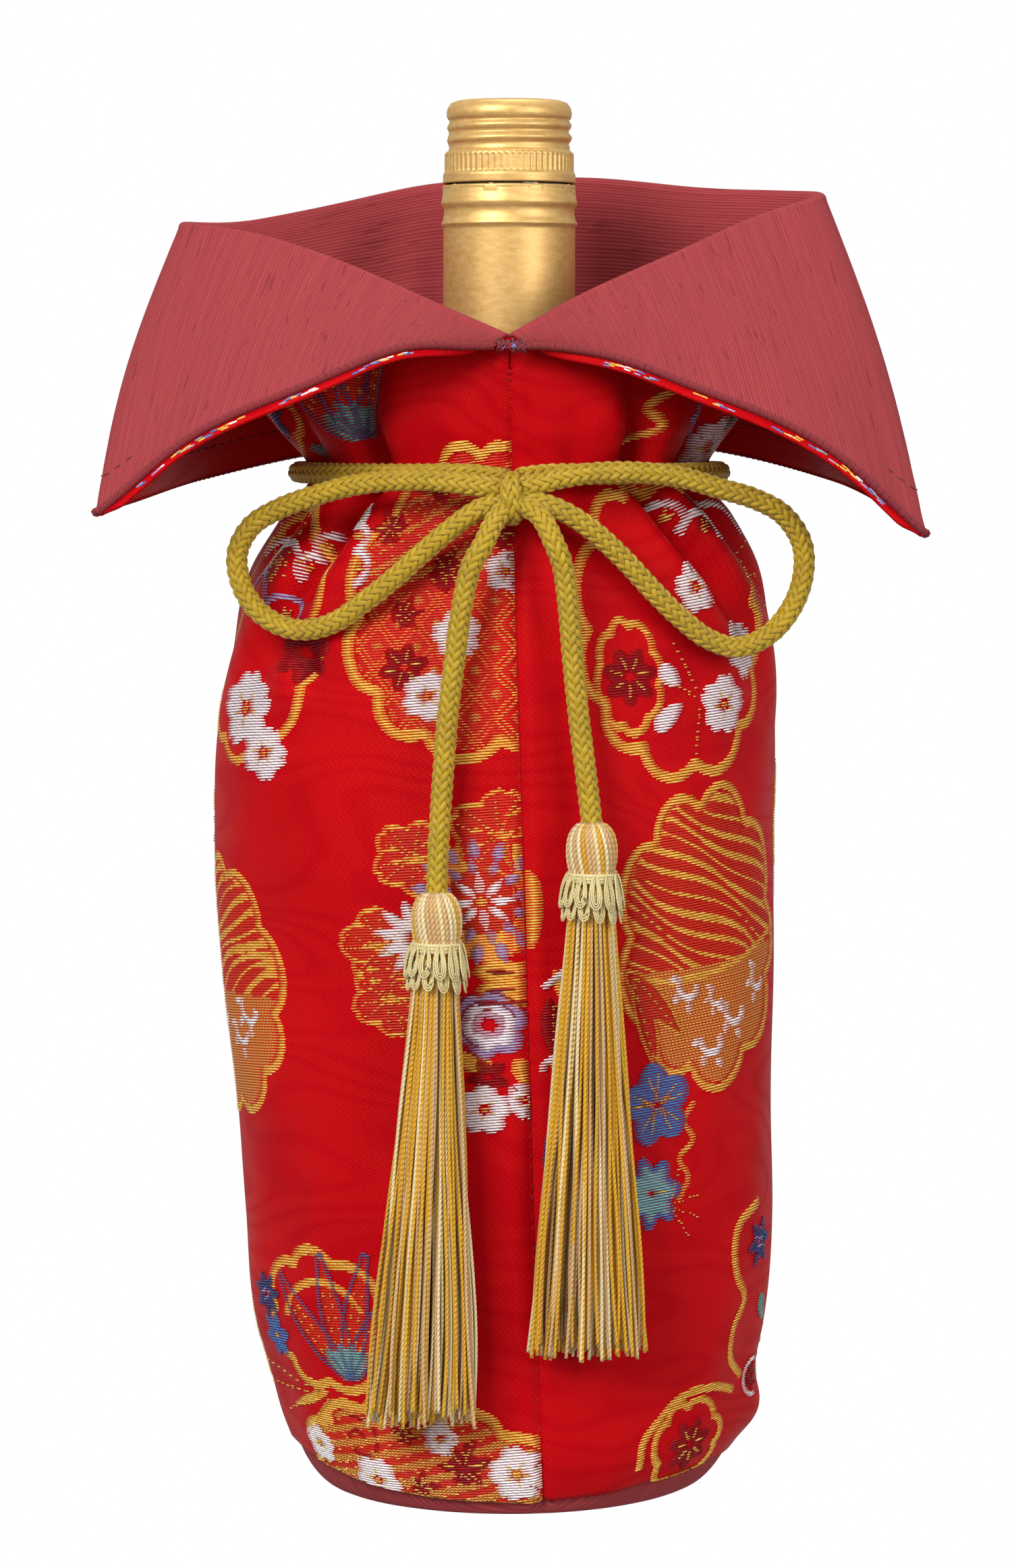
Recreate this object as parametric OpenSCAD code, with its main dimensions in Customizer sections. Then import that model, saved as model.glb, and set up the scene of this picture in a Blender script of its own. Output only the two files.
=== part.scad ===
// Wine gift bag: a brocade bag with a folded-out collar, tied round a bottle with a tasselled cord.
// Origin: centre of the base on the surface it stands on. +Z is up, the slit and bow face -Y.

/* [Bag] */
// Widest width of the filled bag, side to side
bag_w = 121; // [118:1:126]
// Widest depth of the filled bag, front to back
bag_d = 88; // [87:1:92]
// Thickness of the brocade cloth
brocade_t = 1.2; // [0.8:0.1:1.4]
// Thickness of the lining cloth
lining_t = 0.9; // [0.6:0.1:1.2]
// How far the bottom corners of the brocade lift off the floor
corner_lift = 6.5; // [4:0.5:8]

/* [Base] */
// Diameter of the flat round base that the bag stands on
base_dia = 76; // [74:1:78]
// Thickness of the stiffener board in the base
board_t = 2; // [1.5:0.1:2.2]

/* [Bottle] */
// Diameter of the bottle's body
bottle_body_d = 75; // [72:0.5:76]
// Height of the glass bottle without its cap
bottle_h = 294; // [293:0.5:294.5]
// Thickness of the glass wall
glass_t = 3; // [2:0.5:4]
// Outside diameter of the long screw cap
cap_d = 30; // [29.8:0.1:30.2]
// Wall of the aluminium cap
cap_t = 0.45; // [0.3:0.05:0.5]

/* [Cord and tassels] */
// Diameter of the round braided cord
cord_d = 4.6; // [4.2:0.1:4.8]
// Length of each tassel
tassel_len = 111; // [106:1:112]
// Width of the fringe at its lower end
fringe_w = 26; // [22:1:27]
// Depth of the fringe, front to back
fringe_d = 13; // [11:0.5:13]

/* [Hidden] */

RED = [0.76, 0.09, 0.12];
MAROON = [0.55, 0.19, 0.22];
CORD = [0.7, 0.6, 0.1];
YARN = [0.88, 0.72, 0.35];
PALE_GOLD = [0.85, 0.75, 0.42];
CAP_GOLD = [0.85, 0.68, 0.38];
GLASS = [0.15, 0.2, 0.1];

// ---- Heights up the bag ----
floor_gap = 0.2;                         // air between layers that lie on each other
cloth_t = 1.6;                           // maroon cloth under the board
board_z = cloth_t + floor_gap;
lining_z = board_z + board_t + floor_gap;
bottle_z = lining_z + lining_t + floor_gap;

// ---- Bag wall ----
// Each row: height, half width left, half width right, half depth
wall_rows = [
  [3.6, 47.3, 49.5, 40.5], [9, 49, 52, 42.5], [22, 52, 53.5, 43.5], [40, 56, 56, 44],
  [60, 57.3, 57.2, 44], [85, 59, 57, 44], [112, 62, 57.3, 43.8], [143, 63.6, 57.4, 43.4],
  [164, 63, 57.6, 42.8], [182, 59.6, 56.6, 41.6], [199, 54.8, 52.7, 39.6],
  [211, 47.5, 47, 36.5], [221.5, 43, 42.5, 34.5]
];
lining_from = 9;                         // height at which the lining's tube starts
wall_w = 121;                            // the widths and depths above are for these two sizes
wall_d = 88;
neck_row = len(wall_rows) - 1;
side_steps = 8;                          // columns from the front seam to the back seam
// The fold that turns the collar out, from the front, round one side, to the back
fold_left = [
  [0, -41, 250], [-16, -34, 257], [-36, -17, 266], [-55, 0, 272.5], [-72, 15, 275.5],
  [-61, 32, 276], [-41, 41, 280], [-19, 45.5, 285], [0, 46.5, 286.5]
];
fold_right = [
  [0, -41, 250], [16, -34, 259], [36, -17, 268], [53, -1, 276], [68.5, 13, 281.5],
  [61, 31, 283], [43, 39.5, 284], [20, 45, 286.5], [0, 46.5, 286.5]
];
// The free edge of the collar: down the slit to the tip, then along the mouth to the back
edge_left = [
  [-3, -42.6, 248.6], [-25, -48, 246], [-47, -51, 237.5], [-69, -52, 228], [-85.6, -52, 213.5],
  [-80, -8, 215.5], [-68, 30, 219.5], [-38, 49, 226], [0, 51.6, 228]
];
edge_right = [
  [3, -42.6, 248.6], [24, -48, 245], [46, -51, 236], [68, -52, 223.5], [85.6, -52, 209],
  [77, -8, 217], [67, 29, 221.5], [38, 49, 227], [0, 51.6, 228]
];
collar_rows = 7;
collar_start = 0.9;                      // row where the brocade under the collar starts
funnel_rows = 4;
fold_drop = 1.5;                         // how far the funnel stops under the fold
tip_column = 4;                          // the column that ends at the collar's tip
flap_swell = 1;                          // how far the front flaps and the back band bulge
band_swell = 3;
// The front seam leans a little across the bag's front
function seam_x(z) = 7.3 - 0.0305 * z;

function wall_x(row, c) = (c < 0 ? row[1] : row[2]) * bag_w / wall_w * c;
function lift(z, c) = corner_lift * c * c * max(0, 1 - (z - wall_rows[0][0]) / 30);
// A point of the wall, moved inwards by inset; side is -1 for left and 1 for right
function wall_point(row, i, side, inset) =
  let (lean = asin(seam_x(row[0]) / row[2]) * pow(1 - i / side_steps, 3),
       a = -90 + lean + side * 180 * i / side_steps,
       shrunk = [row[0], row[1] - inset, row[2] - inset])
  [wall_x(shrunk, cos(a)), (row[3] * bag_d / wall_d - inset) * sin(a), row[0] + lift(row[0], cos(a))];
// A point of the funnel between the neck and the fold, moved inwards by inset
function funnel_point(k, i, side, inset) =
  let (low = wall_point(wall_rows[neck_row], i, side, inset),
       top = (side < 0 ? fold_left : fold_right)[i],
       drawn = [top[0], top[1], 0] / max(1, norm([top[0], top[1]])),
       high = top - inset * drawn - [0, 0, fold_drop],
       t = k / funnel_rows)
  low + (high - low) * t;
function bag_grid(side, inset, from_z = 0) = concat(
  [for (row = wall_rows) if (row[0] >= from_z) [for (i = [0:side_steps]) wall_point(row, i, side, inset)]],
  [for (k = [1:funnel_rows]) [for (i = [0:side_steps]) funnel_point(k, i, side, inset)]]
);

// ---- Collar ----
function collar_point(side, i, r) =
  let (fold = (side < 0 ? fold_left : fold_right)[i],
       edge = (side < 0 ? edge_left : edge_right)[i],
       t = r / collar_rows,
       out = [fold[0] + edge[0], fold[1] + edge[1], 0],
       swell = (i <= tip_column ? flap_swell : band_swell) * sin(180 * t),
       rise = [0, 0, 1.2] * (1 - t))
  fold + (edge - fold) * t + swell * out / norm(out) + rise;
function collar_grid(side, from = 0) =
  [for (r = [0:collar_rows]) [for (i = [0:side_steps]) collar_point(side, i, max(r, from))]];

// ---- Routes of the cord: hand-laid points of its centre line ----
cord_r = cord_d / 2;
neck_half = [
  [-8, -37.2], [-21.4, -33.4], [-32.8, -26.2], [-40.4, -17.5], [-44.8, -7.7], [-45.7, 2.6],
  [-43, 12.7], [-37, 21.9], [-28.2, 29.4], [-17.1, 34.6], [-6, 37.1]
];
neck_z = 221.5;
neck_route = concat(
  [for (p = neck_half) [p[0], p[1], neck_z]],
  [for (k = [len(neck_half) - 1:-1:0]) [-neck_half[k][0], neck_half[k][1], neck_z]]
);
loop_left_route = [
  [-5.5, -44, 219], [-11, -44, 219.8], [-18, -43, 220.4], [-26, -41.5, 220.2], [-34, -39, 219],
  [-42, -36, 216.7], [-49, -33.5, 214], [-54.5, -31.5, 210.5], [-57.5, -30.5, 205],
  [-57, -30.5, 199], [-54, -31, 193.5], [-49, -32, 189.8], [-43, -34, 188.7],
  [-36.5, -37, 190.6], [-30.5, -39.5, 194.8], [-24, -41.5, 200], [-17.5, -43, 205.8],
  [-12.5, -44, 210], [-8.5, -44.5, 213]
];
loop_right_route = [
  [5.5, -44, 219.5], [11, -44, 220.9], [18, -43, 221.9], [27, -41.5, 222], [36, -39, 220.9],
  [44, -36.5, 218.6], [52, -34, 216.2], [58, -32, 212.8], [62, -30.5, 206.5],
  [62, -30.5, 199], [59, -31, 192], [54, -32, 187], [48, -33, 185], [42, -35, 186.8],
  [36, -37.5, 191.4], [30, -39.5, 197.3], [23.5, -41.5, 204.3], [16.5, -43.5, 210.6], [11, -44.5, 214]
];
tail_left_route = [
  [-5.5, -49.4, 207], [-7.8, -49.2, 203], [-9.8, -48.4, 194.5], [-11.4, -47.9, 183],
  [-12.8, -48, 171.5], [-13.8, -48.4, 159.5], [-14.6, -48.9, 147], [-15.2, -49.5, 134]
];
tail_right_route = [
  [9.5, -49.4, 207], [11, -49.2, 203], [12.2, -48.4, 195], [13.2, -47.9, 183.5],
  [14.5, -48.2, 171], [16, -48.9, 159], [17.2, -49.5, 148.6]
];
knot_at = [0.5, -43.2, 216.6];

// ---- Tassels ----
joint_gap = 0.5;
tassel_left_at = [-15.2, -49.5, 133.5];
tassel_right_at = [17.2, -49.5, 148.1];
head_len = 11;
loops_len = 10;
head_r = 5.3;
loops_r = 7.3;
fringe_top_r = 4.9;
fringe_y = -1.6;                         // the fringe hangs this much in front of the cord

// ---- Cap, from the top of the bag's bottle down ----
cap_top = bottle_z + bottle_h + 2.6;
break_z = cap_top - 18.3;                // where the cap parts from its skirt
cap_r = cap_d / 2;
cap_len = 60;
finish_r = 12.7;                         // glass under the cap
run_gap = 0.3;

// ---- Solids from grids of points ----
// Faces of a grid of rows by columns, numbered from start
function grid_faces(rows, cols, start, flip) = [
  for (r = [0:rows - 2]) for (c = [0:cols - 2])
    let (a = start + r * cols + c, b = a + 1, d = a + cols, e = d + 1)
    each flip ? [[a, b, e], [a, e, d]] : [[a, e, b], [a, d, e]]
];
// Walls that join the edges of two equal grids
function strip(list, offset, flip) = [
  for (k = [0:len(list) - 2])
    let (a = list[k], b = list[k + 1])
    each flip ? [[a, b + offset, b], [a, a + offset, b + offset]]
              : [[a, b, b + offset], [a, b + offset, a + offset]]
];
module slab(front, back) {
  rows = len(front);
  cols = len(front[0]);
  n = rows * cols;
  points = concat([for (row = front) each row], [for (row = back) each row]);
  first = [for (c = [0:cols - 1]) c];
  last = [for (c = [0:cols - 1]) (rows - 1) * cols + c];
  west = [for (r = [0:rows - 1]) r * cols];
  east = [for (r = [0:rows - 1]) r * cols + cols - 1];
  polyhedron(points, concat(
    grid_faces(rows, cols, 0, false), grid_faces(rows, cols, n, true),
    strip(first, n, false), strip(last, n, true), strip(west, n, true), strip(east, n, false)
  ), convexity = 10);
}
// A closed skin over rings of points, with a fan at each end
module loft(rings) {
  cols = len(rings[0]);
  n = len(rings) * cols;
  mean = function(ring) [for (axis = [0:2]) [for (p = ring) p[axis]] * [for (p = ring) 1 / cols]];
  points = concat([for (ring = rings) each ring], [mean(rings[0]), mean(rings[len(rings) - 1])]);
  last = n - cols;
  polyhedron(points, concat(
    [for (r = [0:len(rings) - 2]) for (c = [0:cols - 1])
      let (a = r * cols + c, b = r * cols + (c + 1) % cols)
      each [[a, b + cols, b], [a, a + cols, b + cols]]],
    [for (c = [0:cols - 1]) [n, c, (c + 1) % cols]],
    [for (c = [0:cols - 1]) [n + 1, last + (c + 1) % cols, last + c]]
  ), convexity = 10);
}
function unit(v) = v / norm(v);
function tangent(path, k) = unit(path[min(k + 1, len(path) - 1)] - path[max(k - 1, 0)]);
// A round tube swept along a path that never runs along the axis given as side
module tube(path, r, sides, side = [0, 1, 0]) {
  loft([for (k = [0:len(path) - 1])
    let (t = tangent(path, k), u = unit(cross(side, t)), v = cross(t, u))
    [for (j = [0:sides - 1]) path[k] + r * (cos(360 * j / sides) * u + sin(360 * j / sides) * v)]]);
}
// Normal of a grid at one of its points
function grid_normal(g, r, c) =
  let (rows = len(g), cols = len(g[0]),
       along = g[r][min(c + 1, cols - 1)] - g[r][max(c - 1, 0)],
       down = g[min(r + 1, rows - 1)][c] - g[max(r - 1, 0)][c])
  unit(cross(along, down));
function offset_grid(g, d) = [for (r = [0:len(g) - 1])
  [for (c = [0:len(g[0]) - 1]) g[r][c] + d * grid_normal(g, r, c)]];

// ---- Cloth of the bag ----
// Both panels run the same way round the bag, so that the left one's columns are turned about
function one_way(grid, side) = side > 0 ? grid : [for (row = grid) [for (i = [side_steps:-1:0]) row[i]]];
module brocade(side) color(RED)
  slab(one_way(bag_grid(side, 0), side), one_way(bag_grid(side, brocade_t), side));
// Closed rings of the whole bag, from the front, round the right, the back and the left
function bag_rings(inset, from_z) =
  let (right = bag_grid(1, inset, from_z), left = bag_grid(-1, inset, from_z))
  [for (r = [0:len(right) - 1])
    concat(right[r], [for (i = [side_steps - 1:-1:1]) left[r][i]])];
function raised(ring, up) = [for (p = ring) p + [0, 0, up]];
module lining() {
  inset = brocade_t + 0.2;
  hollow = bag_rings(inset + lining_t, lining_from);
  color(MAROON) difference() {
    loft(bag_rings(inset, lining_from));
    loft(concat([raised(hollow[0], -9)], hollow, [raised(hollow[len(hollow) - 1], 15)]));
  }
}
module lining_floor() color(MAROON)
  translate([0, 0, lining_z]) cylinder(lining_t, (base_dia - 2) / 2, (base_dia - 2) / 2, $fn = 96);
module base_board() color("tan")
  translate([0, 0, board_z]) cylinder(board_t, (base_dia - 3) / 2, (base_dia - 3) / 2, $fn = 96);
// A ring of points just inside the hem of the brocade, from the front, round the right and back
function hem_ring(inset, up) = concat(
  [for (i = [0:side_steps]) wall_point(wall_rows[0], i, 1, inset) + [0, 0, up]],
  [for (i = [side_steps - 1:-1:1]) wall_point(wall_rows[0], i, -1, inset) + [0, 0, up]]
);
function flat_ring(r, z) = [for (k = [0:2 * side_steps - 1])
  let (a = -90 + 180 * k / side_steps) [r * cos(a), r * sin(a), z]];
module base_cover() color(MAROON) difference() {
  loft([flat_ring(base_dia / 2, 0), hem_ring(brocade_t + 0.1, 0.4)]);
  loft([flat_ring(base_dia / 2 - 0.4, cloth_t), hem_ring(brocade_t + 1.1, 1.2), hem_ring(brocade_t + 1.1, 12)]);
}
module wall_seam(i, z_list) {
  color(RED * 0.8) tube([for (k = z_list) wall_point(wall_rows[k], i, 1, -0.45)], 0.4, 8, [1, 0, 0]);
}
module front_seam() wall_seam(0, [1:neck_row - 2]);
module back_seam() wall_seam(side_steps, [1:neck_row - 2]);
module front_tack() color(MAROON * 0.7) translate([0, -42.8, 247.4]) rotate([90, 0, 0])
  linear_extrude(1.2, center = true) offset(0.8, $fn = 16) square([4, 0.8], center = true);

// ---- Collar ----
module collar_sheet(side, d0, d1, from = 0) {
  g = collar_grid(side, from);
  far = offset_grid(g, -side * d1);
  near = offset_grid(g, -side * d0);
  if (side < 0) slab(far, near); else slab(near, far);
}
module collar_facing(side) color(MAROON) collar_sheet(side, 0.1, 0.1 + lining_t);
// It starts just past the fold, where the panel under it ends
module collar_brocade(side) color(RED) collar_sheet(side, -0.1 - brocade_t, -0.1, collar_start);
module collar_stitching() color(MAROON * 0.6) for (side = [-1, 1])
  tube([for (i = [tip_column:side_steps]) offset_grid(collar_grid(side), side * 1.6)[collar_rows - 1][i]],
    0.25, 6, [0, 0, 1]);

// ---- Cord ----
module neck_cord() color(CORD) tube(neck_route, cord_r, 10, [0, 0, 1]);
module bow_loop(route) color(CORD) tube(route, cord_r, 10);
module tail_cord(route) color(CORD) tube(route, cord_r, 10);
module bow_knot() color(CORD) translate(knot_at) {
  rotate([0, 90, 0]) rotate_extrude($fn = 32) translate([3.1, 0]) circle(cord_r - 0.1, $fn = 24);
  rotate([0, 90, 0]) cylinder(7.4, 2.6, 2.6, center = true, $fn = 24);
}

// ---- Tassels ----
module tassel_head(at) color(YARN) translate(at) difference() {
  rotate_extrude($fn = 40) polygon([
    [0, 0], [2.7, 0], [4.4, -1.6], [head_r, -4], [head_r, -7], [4.6, -head_len + 0.8], [4.6, -head_len], [0, -head_len]
  ]);
  translate([0, 0, -6]) cylinder(7, 2.35, 2.35, $fn = 32);
  translate([0, 0, -6]) sphere(3.5, $fn = 32);
}
module cord_end(at) color(CORD) translate(at) {
  translate([0, 0, -6]) cylinder(6, 2.25, 2.25, $fn = 32);
  translate([0, 0, -6]) sphere(3.3, $fn = 32);
}
module tassel_tie(at) color(PALE_GOLD) translate(at + [0, 0, -head_len + 1.2])
  rotate_extrude($fn = 40) translate([5.5, 0]) circle(0.6, $fn = 16);
module tassel_loops(at) color(PALE_GOLD) translate(at + [0, 0, -head_len - 0.1])
  rotate_extrude($fn = 40) polygon([
    [fringe_top_r + 0.5, 0], [6.4, 0], [loops_r, -4], [loops_r, -loops_len], [6.6, -loops_len],
    [fringe_top_r + 0.7, -loops_len]
  ]);
// Rows of the fringe: how far down it, and how much of its spread it has there
fringe_rows = [[0, 0], [0.11, 0.02], [0.2, 0.3], [0.5, 0.65], [0.8, 0.93], [1, 1]];
module tassel_fringe(at, lean) {
  top = -head_len - 0.2;
  len_z = tassel_len - head_len - 0.2;
  color(YARN) loft([for (k = [len(fringe_rows) - 1:-1:0])
    let (down = fringe_rows[k][0],
         spread = fringe_rows[k][1],
         rx = fringe_top_r + (fringe_w / 2 - fringe_top_r) * spread,
         ry = fringe_top_r + (fringe_d / 2 - fringe_top_r) * spread,
         centre = at + [lean * down, fringe_y * down, top - len_z * down])
    [for (a = [0:22.5:337.5]) centre + [rx * cos(a), ry * sin(a), 0]]]);
}

// ---- Bottle and cap ----
body_r = bottle_body_d / 2;
module bottle() color(GLASS) translate([0, 0, bottle_z]) rotate_extrude($fn = 96) polygon([
  [0, 18], [12, 17], [24, 9], [31, 0.6], [33, 0], [body_r - 1.8, 1.2], [body_r, 4.5],
  [body_r, 178], [body_r - 1.2, 186], [body_r - 5, 194], [body_r - 11.5, 202], [18.5, 210],
  [15.4, 218], [14.2, 228], [14, bottle_h - 58], [14, bottle_h - 22], [finish_r, bottle_h - 20],
  [finish_r, bottle_h - 1], [11.9, bottle_h], [9.5, bottle_h], [9.3, bottle_h - 4],
  [10, 225], [12, 216], [15, 210 - glass_t], [body_r - 14, 200 - glass_t], [body_r - 7, 190 - glass_t],
  [body_r - glass_t, 178], [body_r - glass_t, 9], [29, 8], [22, 15], [12, 21.5], [0, 22.5]
]);
fill_z = bottle_h - 55;
module wine() color([0.35, 0.02, 0.06]) translate([0, 0, bottle_z]) rotate_extrude($fn = 96) polygon([
  [0, 22.7], [12, 21.7], [22.1, 15.2], [29.1, 8.2], [body_r - glass_t - 0.2, 9.2],
  [body_r - glass_t - 0.2, 178], [body_r - 7.3, 190 - glass_t - 0.1], [body_r - 14.3, 200 - glass_t - 0.1],
  [14.8, 210 - glass_t - 0.2], [11.8, 216], [9.8, 225], [9.6, fill_z], [0, fill_z]
]);
module cap_shell() color(CAP_GOLD) rotate_extrude($fn = 96) polygon([
  [finish_r + run_gap, break_z + 0.1], [cap_r - 0.5, break_z + 0.1], [cap_r - 0.45, cap_top - 12.2],
  [cap_r - 1.1, cap_top - 11.4], [cap_r - 0.9, cap_top - 9], [cap_r - 1.3, cap_top - 8.2],
  [cap_r - 0.9, cap_top - 7.4], [cap_r - 0.9, cap_top - 6.2], [cap_r - 1.4, cap_top - 5.2],
  [cap_r - 0.9, cap_top - 4.4], [cap_r - 0.9, cap_top - 2.2], [cap_r - 2.2, cap_top - 0.5],
  [cap_r - 3.4, cap_top], [0, cap_top], [0, cap_top - cap_t], [finish_r + run_gap - 0.8, cap_top - cap_t],
  [finish_r + run_gap, cap_top - 1.5]
]);
module cap_liner() color("white")
  translate([0, 0, bottle_z + bottle_h + 0.05]) cylinder(2, 11.9, 11.9, $fn = 64);
module cap_skirt() color(CAP_GOLD) rotate_extrude($fn = 96) polygon([
  [14.1, cap_top - cap_len], [cap_r - 0.05, cap_top - cap_len], [cap_r, cap_top - 28],
  [cap_r - 0.2, cap_top - 26.6], [cap_r, cap_top - 25.6], [cap_r - 0.5, cap_top - 24.6],
  [cap_r, cap_top - 23.4], [cap_r - 0.3, break_z], [14.1, break_z]
]);

brocade(-1);  // brocade_left
brocade(1);  // brocade_right
lining();
lining_floor();
base_cover();
base_board();
front_seam();
back_seam();
front_tack();
collar_stitching();
collar_facing(-1);  // collar_facing_left
collar_facing(1);  // collar_facing_right
collar_brocade(-1);  // collar_brocade_left
collar_brocade(1);  // collar_brocade_right
neck_cord();
bow_knot();
bow_loop(loop_left_route);  // bow_loop_left
bow_loop(loop_right_route);  // bow_loop_right
tail_cord(tail_left_route);  // tail_cord_left
tail_cord(tail_right_route);  // tail_cord_right
cord_end(tassel_left_at);  // cord_end_left
cord_end(tassel_right_at);  // cord_end_right
tassel_head(tassel_left_at);  // tassel_head_left
tassel_head(tassel_right_at);  // tassel_head_right
tassel_tie(tassel_left_at);  // tassel_tie_left
tassel_tie(tassel_right_at);  // tassel_tie_right
tassel_loops(tassel_left_at);  // tassel_loops_left
tassel_loops(tassel_right_at);  // tassel_loops_right
tassel_fringe(tassel_left_at, -3.2);  // tassel_fringe_left
tassel_fringe(tassel_right_at, -0.8);  // tassel_fringe_right
bottle();
wine();
cap_skirt();
cap_liner();
cap_shell();
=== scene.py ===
"""Wine gift bag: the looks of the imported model. Lengths are in millimetres until a mesh is made."""
import math

import bpy
import numpy as np
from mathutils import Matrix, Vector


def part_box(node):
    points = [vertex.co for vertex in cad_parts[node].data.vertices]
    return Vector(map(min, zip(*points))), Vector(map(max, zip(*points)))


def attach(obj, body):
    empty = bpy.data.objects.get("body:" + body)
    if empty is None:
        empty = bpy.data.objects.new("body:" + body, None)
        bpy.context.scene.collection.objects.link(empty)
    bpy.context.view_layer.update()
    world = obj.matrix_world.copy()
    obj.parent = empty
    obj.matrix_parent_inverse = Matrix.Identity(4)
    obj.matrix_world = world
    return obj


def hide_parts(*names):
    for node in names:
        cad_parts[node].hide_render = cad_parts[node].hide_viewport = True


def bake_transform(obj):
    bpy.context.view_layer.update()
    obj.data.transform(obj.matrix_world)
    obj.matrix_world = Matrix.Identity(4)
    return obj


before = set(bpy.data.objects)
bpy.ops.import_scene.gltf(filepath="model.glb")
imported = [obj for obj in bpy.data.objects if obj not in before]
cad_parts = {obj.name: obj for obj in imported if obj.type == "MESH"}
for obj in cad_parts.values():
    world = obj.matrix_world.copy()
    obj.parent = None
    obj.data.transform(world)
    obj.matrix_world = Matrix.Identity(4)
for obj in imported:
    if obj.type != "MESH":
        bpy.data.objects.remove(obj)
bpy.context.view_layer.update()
MM = 0.001
RNG = np.random.default_rng(11)
TAU = 2 * math.pi


# ------------------------------------------------------------------ small maths
def arr(points):
    return np.array(points, float)


def unit(v):
    v = np.asarray(v, float)
    return v / np.maximum(np.linalg.norm(v, axis=-1, keepdims=True), 1e-12)


def smooth(t):
    t = np.clip(t, 0, 1)
    return t * t * (3 - 2 * t)


def hermite(xs, ys, x):
    """Smooth curve through (xs, ys), evaluated at x; ys may have several columns."""
    xs, ys = arr(xs), arr(ys)
    x = np.clip(np.asarray(x, float), xs[0], xs[-1])
    slope = np.gradient(ys, xs, axis=0)
    k = np.clip(np.searchsorted(xs, x, side="right") - 1, 0, len(xs) - 2)
    h = xs[k + 1] - xs[k]
    t = (x - xs[k]) / h
    if ys.ndim > 1:
        t, h = t[..., None], h[..., None]
    return ((1 + 2 * t) * (1 - t) ** 2 * ys[k] + t * (1 - t) ** 2 * h * slope[k]
            + t * t * (3 - 2 * t) * ys[k + 1] + t * t * (t - 1) * h * slope[k + 1])


def run_along(path):
    """mm of path up to each of its points."""
    return np.concatenate([[0], np.cumsum(np.linalg.norm(np.diff(path, axis=0), axis=1))])


def resample(points, step):
    """A smooth path through the points with a ring about every step, in mm."""
    points = arr(points)
    gaps = np.linalg.norm(np.diff(points, axis=0), axis=1)
    at = np.concatenate([[0], np.cumsum(np.sqrt(gaps))])
    fine = hermite(at, points, np.linspace(0, at[-1], 600))
    run = run_along(fine)
    n = max(2, int(run[-1] / step))
    want = np.linspace(0, run[-1], n + 1)
    return np.stack([np.interp(want, run, column) for column in fine.T], 1), want


def frames(path, side):
    """Tangent and two normals along a path; side is a direction the path never runs along."""
    tangent = unit(np.gradient(path, axis=0))
    u = unit(np.cross(arr(side), tangent))
    return tangent, u, np.cross(tangent, u)


def turned(radius, angle, z):
    """Points at a radius and an angle round Z, at height z."""
    return np.stack(np.broadcast_arrays(radius * np.cos(angle), radius * np.sin(angle), z), -1)


# ------------------------------------------------------------------ mesh making
def new_object(name, points, faces, uv=None, material=None, body="bag", wraps=False):
    """A smooth mesh from points in mm, with one UV per point, riding on a body.

    With wraps, the first UV number counts turns, and the faces that close a turn run on past it."""
    mesh = bpy.data.meshes.new(name)
    mesh.from_pydata((np.asarray(points) * MM).tolist(), [], faces)
    if uv is not None:
        layer = mesh.uv_layers.new(name="UVMap")
        loops = np.zeros(len(mesh.loops), np.int32)
        mesh.loops.foreach_get("vertex_index", loops)
        flat = np.array(uv, np.float32)[loops]
        if wraps:
            start, total = (np.zeros(len(mesh.polygons), np.int32) for _ in range(2))
            mesh.polygons.foreach_get("loop_start", start)
            mesh.polygons.foreach_get("loop_total", total)
            quads = start[total == 4][:, None] + np.arange(4)
            turn = flat[quads, 0]
            flat[quads, 0] = turn + (turn < turn.max(1, keepdims=True) - 0.5)
        layer.data.foreach_set("uv", flat.ravel())
    mesh.polygons.foreach_set("use_smooth", [True] * len(mesh.polygons))
    mesh.update()
    obj = bpy.data.objects.new(name, mesh)
    bpy.context.collection.objects.link(obj)
    if material:
        mesh.materials.append(material)
    if body:
        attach(obj, body)
    return obj


def grid_faces(rows, cols, start=0, flip=False, wrap=False):
    """Quads over a grid of points numbered row by row; wrap joins its last column to the first."""
    faces = []
    for r in range(rows - 1):
        for c in range(cols if wrap else cols - 1):
            a = start + r * cols + c
            b = start + r * cols + (c + 1) % cols
            quad = (a, b, b + cols, a + cols)
            faces.append(quad[::-1] if flip else quad)
    return faces


def grid_normals(grid):
    """Unit normals of a grid of points: columns cross rows."""
    return unit(np.cross(np.gradient(grid, axis=1), np.gradient(grid, axis=0)))


def cloth(name, face, normals, thick, uv, material, flip=False):
    """A sheet with its good side at face, and its back thick behind it, closed round its rim."""
    rows, cols = face.shape[:2]
    n = rows * cols
    points = np.concatenate([face.reshape(-1, 3), (face - normals * thick).reshape(-1, 3)])
    faces = grid_faces(rows, cols, 0, flip) + grid_faces(rows, cols, n, not flip)
    rim = (list(range(cols)) + [r * cols + cols - 1 for r in range(1, rows)]
           + [(rows - 1) * cols + c for c in range(cols - 2, -1, -1)]
           + [r * cols for r in range(rows - 2, 0, -1)])
    for a, b in zip(rim, rim[1:] + rim[:1]):
        quad = (b, a, a + n, b + n)
        faces.append(quad[::-1] if flip else quad)
    flat = np.concatenate([uv.reshape(-1, 2)] * 2)
    return new_object(name, points, faces, flat, material, "bag")


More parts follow.
